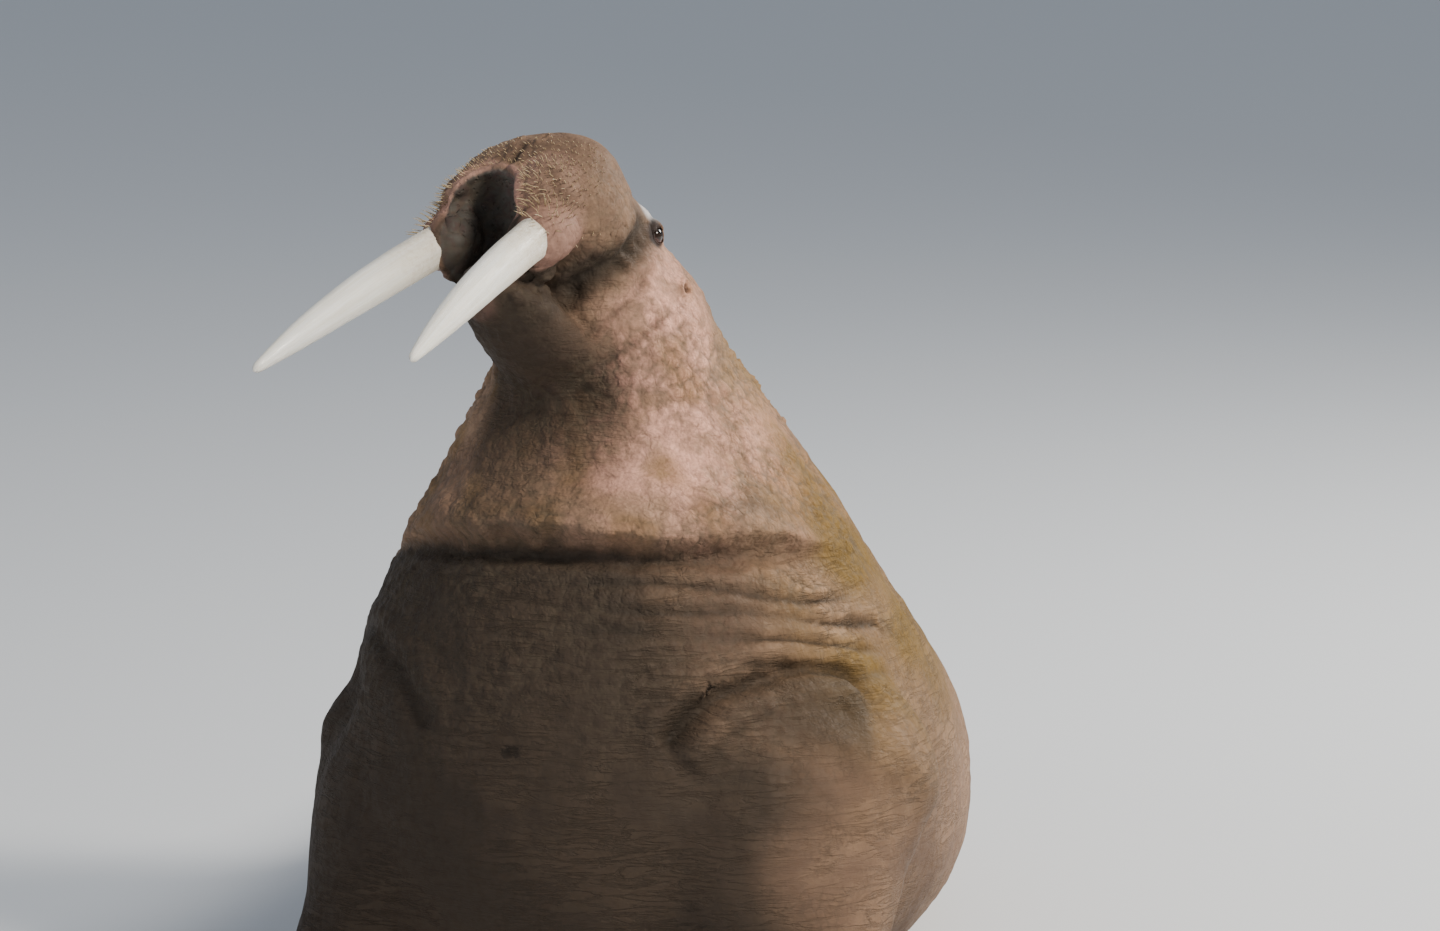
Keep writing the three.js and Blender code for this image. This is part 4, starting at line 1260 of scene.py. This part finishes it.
mouth_flesh, shader, place = new_material("mouth_flesh")
taste = pattern(warty_hide, place, 5.0)
mottled = pattern(blotches, place, 4.0)
colour = mixed(mottled["Mask"], (0.165, 0.050, 0.048), (0.235, 0.085, 0.078))
# painted shade in the small cracks of the tongue
colour = mixed(taste["Cracks"] * 0.4, colour, (0.060, 0.018, 0.020))
feed(shader, Base_Color=colour, Roughness=spread(mottled["Specks"], 0.25, 0.42))
feed(shader, Normal=bump(taste["Height"], 0.5, 0.001), Coat_Weight=0.25, Coat_Roughness=0.2)
dress(tongue, "mouth_flesh", mouth_flesh, "tongue")
print("tongue has", len(tongue.data.polygons), "faces")

# %% [markdown]
# ## Claws
# Each digit of a flipper carries a small claw of dark horn. The twenty claws are copies of their solids with a
# Subdivision Surface modifier, which rounds them without moving them.

# %% Twenty claws of dark horn
horn, shader, place = new_material("claw_horn")
growth = pattern(grain, stretched(place, (6, 1.2, 6)), 6.0)
dusty = pattern(blotches, place, 6.0)
colour = mixed(growth["Streaks"], (0.050, 0.034, 0.025), (0.120, 0.085, 0.060))
colour = mixed(dusty["Specks"] * 0.3, colour, (0.20, 0.16, 0.12))
feed(shader, Base_Color=colour, Roughness=spread(dusty["Mask"], 0.34, 0.55))
feed(shader, Normal=bump(growth["Height"], 0.5, 0.0008))
for limb in ("fore", "hind"):
    for side_name, _ in SIDES:
        for digit in range(1, 6):
            claw = copy_of(f"{limb}_claw_{side_name}_{digit}")
            claw.name = f"horn_{limb}_{side_name}_{digit}"
            apply_modifier(claw, "SUBSURF", levels=2, render_levels=2)
            dress(claw, "claw_horn", horn, f"{limb}_claw_{side_name}_{digit}")
print("twenty claws")

# %% [markdown]
# ## Bristles
# The pads carry stiff, straw-coloured bristles in staggered rows, short on the upper rows and longer near the
# mouth. One bristle is modelled, and its mesh is copied to every root with its own length, lean and bend, drawn
# from a fixed seed. Each bristle keeps a small patch of an unwrap of the pad.

# %% One bristle
BRISTLE_SIDES = 5
BRISTLE_RINGS = (0.0, 0.3, 0.6, 0.85, 1.0)
bpy.ops.object.select_all(action="DESELECT")
bpy.ops.mesh.primitive_circle_add(vertices=BRISTLE_SIDES, radius=1)
bristle = bpy.context.object
in_edit_mode(bristle)
for low, high in zip(BRISTLE_RINGS, BRISTLE_RINGS[1:]):
    bpy.ops.mesh.extrude_region_move(TRANSFORM_OT_translate={"value": (0, 0, high - low)})
bpy.ops.mesh.merge(type="CENTER")
bpy.ops.object.mode_set(mode="OBJECT")
bristle_points = points_of(bristle)
bristle_points[:, :2] *= (1 - 0.72 * bristle_points[:, 2] ** 1.5)[:, None]
bristle_faces = [list(face.vertices) for face in bristle.data.polygons]
bpy.data.objects.remove(bristle)
print("one bristle has", len(bristle_faces), "faces")

# %% Where a bristle grows
BRISTLE_THICK = 0.0011
BRISTLE_ROOT, BRISTLE_BEND = 0.002, 0.22
CLEAR_OF_MOUTH, CLEAR_OF_TUSK = 1.22, 0.050
surface = surface_of(skin)


def bristle_root(swing, height, side):
    """Where a ray from outside meets the pad, and the skin's normal, or nothing by the mouth and the tusk."""
    a, b = math.radians(swing), math.radians(height)
    outward_way = Vector((math.sin(a) * math.cos(b), -math.cos(a) * math.cos(b), math.sin(b)))
    start = PAD_AT + Vector(r * w for r, w in zip(PAD_RADII * 1.6, outward_way))
    start = HEAD_AT + HEAD_TURN @ on_side(start, side)
    root, normal, _, _ = surface.ray_cast(start, (HEAD_TURN @ on_side(-outward_way, side)).normalized())
    if root is None:
        return None
    to_mouth = ball_measure(in_head_frame(np.array([root])), MOUTH_AT, MOUTH_RADII, MOUTH_TILT)[0]
    to_tusk = (HEAD_TURN.transposed() @ (root - HEAD_AT) - on_side(TUSK_EXIT, side)).length
    return (root, normal) if to_mouth >= CLEAR_OF_MOUTH and to_tusk >= CLEAR_OF_TUSK else None


def bent_bristle(root, normal, side, long, lean, spin, thick):
    """The points of one bristle on its root, drooping towards the mouth."""
    droop = HEAD_TURN @ Vector((0.06 * side, -0.30, -0.42))
    way = (normal + droop * 0.5 + HEAD_TURN @ Vector(lean)).normalized()
    aside = way.cross(droop).normalized()
    up = bristle_points[:, 2]
    round_x = bristle_points[:, 0] * math.cos(spin) - bristle_points[:, 1] * math.sin(spin)
    round_y = bristle_points[:, 0] * math.sin(spin) + bristle_points[:, 1] * math.cos(spin)
    spots = np.array(root - normal * BRISTLE_ROOT) + np.outer(up * long, np.array(way))
    spots += np.outer(round_x * thick, np.array(aside))
    return spots + np.outer(round_y * thick + BRISTLE_BEND * long * up**2, np.array(aside.cross(way)))


print("a bristle stays", CLEAR_OF_TUSK, "m away from its tusk")

# %% Bristles on both pads
BRISTLE_ROWS = (
    # rise above the pad's middle and the swing from the front towards the side, in degrees, how many, length
    (50, -36, 60, 14, 0.007),
    (42, -48, 70, 18, 0.008),
    (34, -52, 76, 21, 0.009),
    (26, -56, 80, 23, 0.011),
    (18, -58, 84, 25, 0.012),
    (10, -58, 86, 26, 0.014),
    (2, -58, 87, 27, 0.016),
    (-6, -58, 87, 27, 0.019),
    (-14, -58, 87, 27, 0.022),
    (-22, -56, 87, 27, 0.025),
    (-30, -54, 86, 26, 0.028),
    (-38, -50, 84, 24, 0.030),
    (-46, -46, 80, 22, 0.031),
    (-54, -40, 76, 18, 0.030),
)
UNEVEN_DEGREES, UNEVEN_LEAN = 1.6, 0.10
PATCH = 0.003


def bristle_coat(side_name, side, seed):
    """All bristles of one pad as one mesh, with their patches on the unwrap of the pad."""
    draw = np.random.default_rng(seed)
    all_points, all_faces, patches = [], [], []
    up = bristle_points[:, 2]
    for row, (rise, first, last, count, length) in enumerate(BRISTLE_ROWS):
        for i in range(count):
            swing = first + (last - first) * (i + 0.5 * (row % 2)) / (count - 1)
            swing += draw.normal(0, UNEVEN_DEGREES)
            height = rise + draw.normal(0, UNEVEN_DEGREES)
            long = length * draw.uniform(0.75, 1.2)
            lean = draw.normal(0, UNEVEN_LEAN, 3)
            spin = draw.uniform(0, math.tau)
            grown = bristle_root(swing, height, side)
            if grown is None:
                continue
            thick = BRISTLE_THICK * (0.75 + 0.5 * draw.random()) * (1.0 if long > 0.03 else 0.8)
            offset = len(all_points) * len(bristle_points)
            all_points.append(bent_bristle(*grown, side, long, lean, spin, thick))
            all_faces += [[offset + k for k in face] for face in bristle_faces]
            u, v = (swing + 60) / 160, (height + 70) / 130
            patches.append(np.stack([u + PATCH * bristle_points[:, 0] / 2, v + PATCH * (up - 0.5)], 1))
    mesh = bpy.data.meshes.new(f"bristles_{side_name}")
    mesh.from_pydata(np.concatenate(all_points).tolist(), [], all_faces)
    layer = mesh.uv_layers.new(name="OFBake")
    corners = np.empty(len(mesh.loops), np.int32)
    mesh.loops.foreach_get("vertex_index", corners)
    layer.data.foreach_set("uv", np.concatenate(patches)[corners].astype(np.float32).ravel())
    coat = bpy.data.objects.new(f"bristles_{side_name}", mesh)
    bpy.context.scene.collection.objects.link(coat)
    paint(coat, "up", np.tile(up, len(all_points)))
    face_outward(coat)
    print(coat.name, "has", len(all_points), "bristles and", len(mesh.polygons), "faces")
    return coat


straw, shader, place = new_material("bristle_straw")
tone = pattern(blotches, place, 5.0)
colour = mixed(tone["Specks"], (0.42, 0.31, 0.17), (0.60, 0.48, 0.30))
colour = mixed(between(attribute(place.tree, "up"), 0.0, 0.35, 0.6, 0), colour, (0.20, 0.13, 0.08))
feed(shader, Base_Color=colour, Roughness=spread(tone["Mask"], 0.32, 0.45))
for side_name, side, seed in (("left", 1, 501), ("right", -1, 502)):
    dress(bristle_coat(side_name, side, seed), "pad_hide", straw)
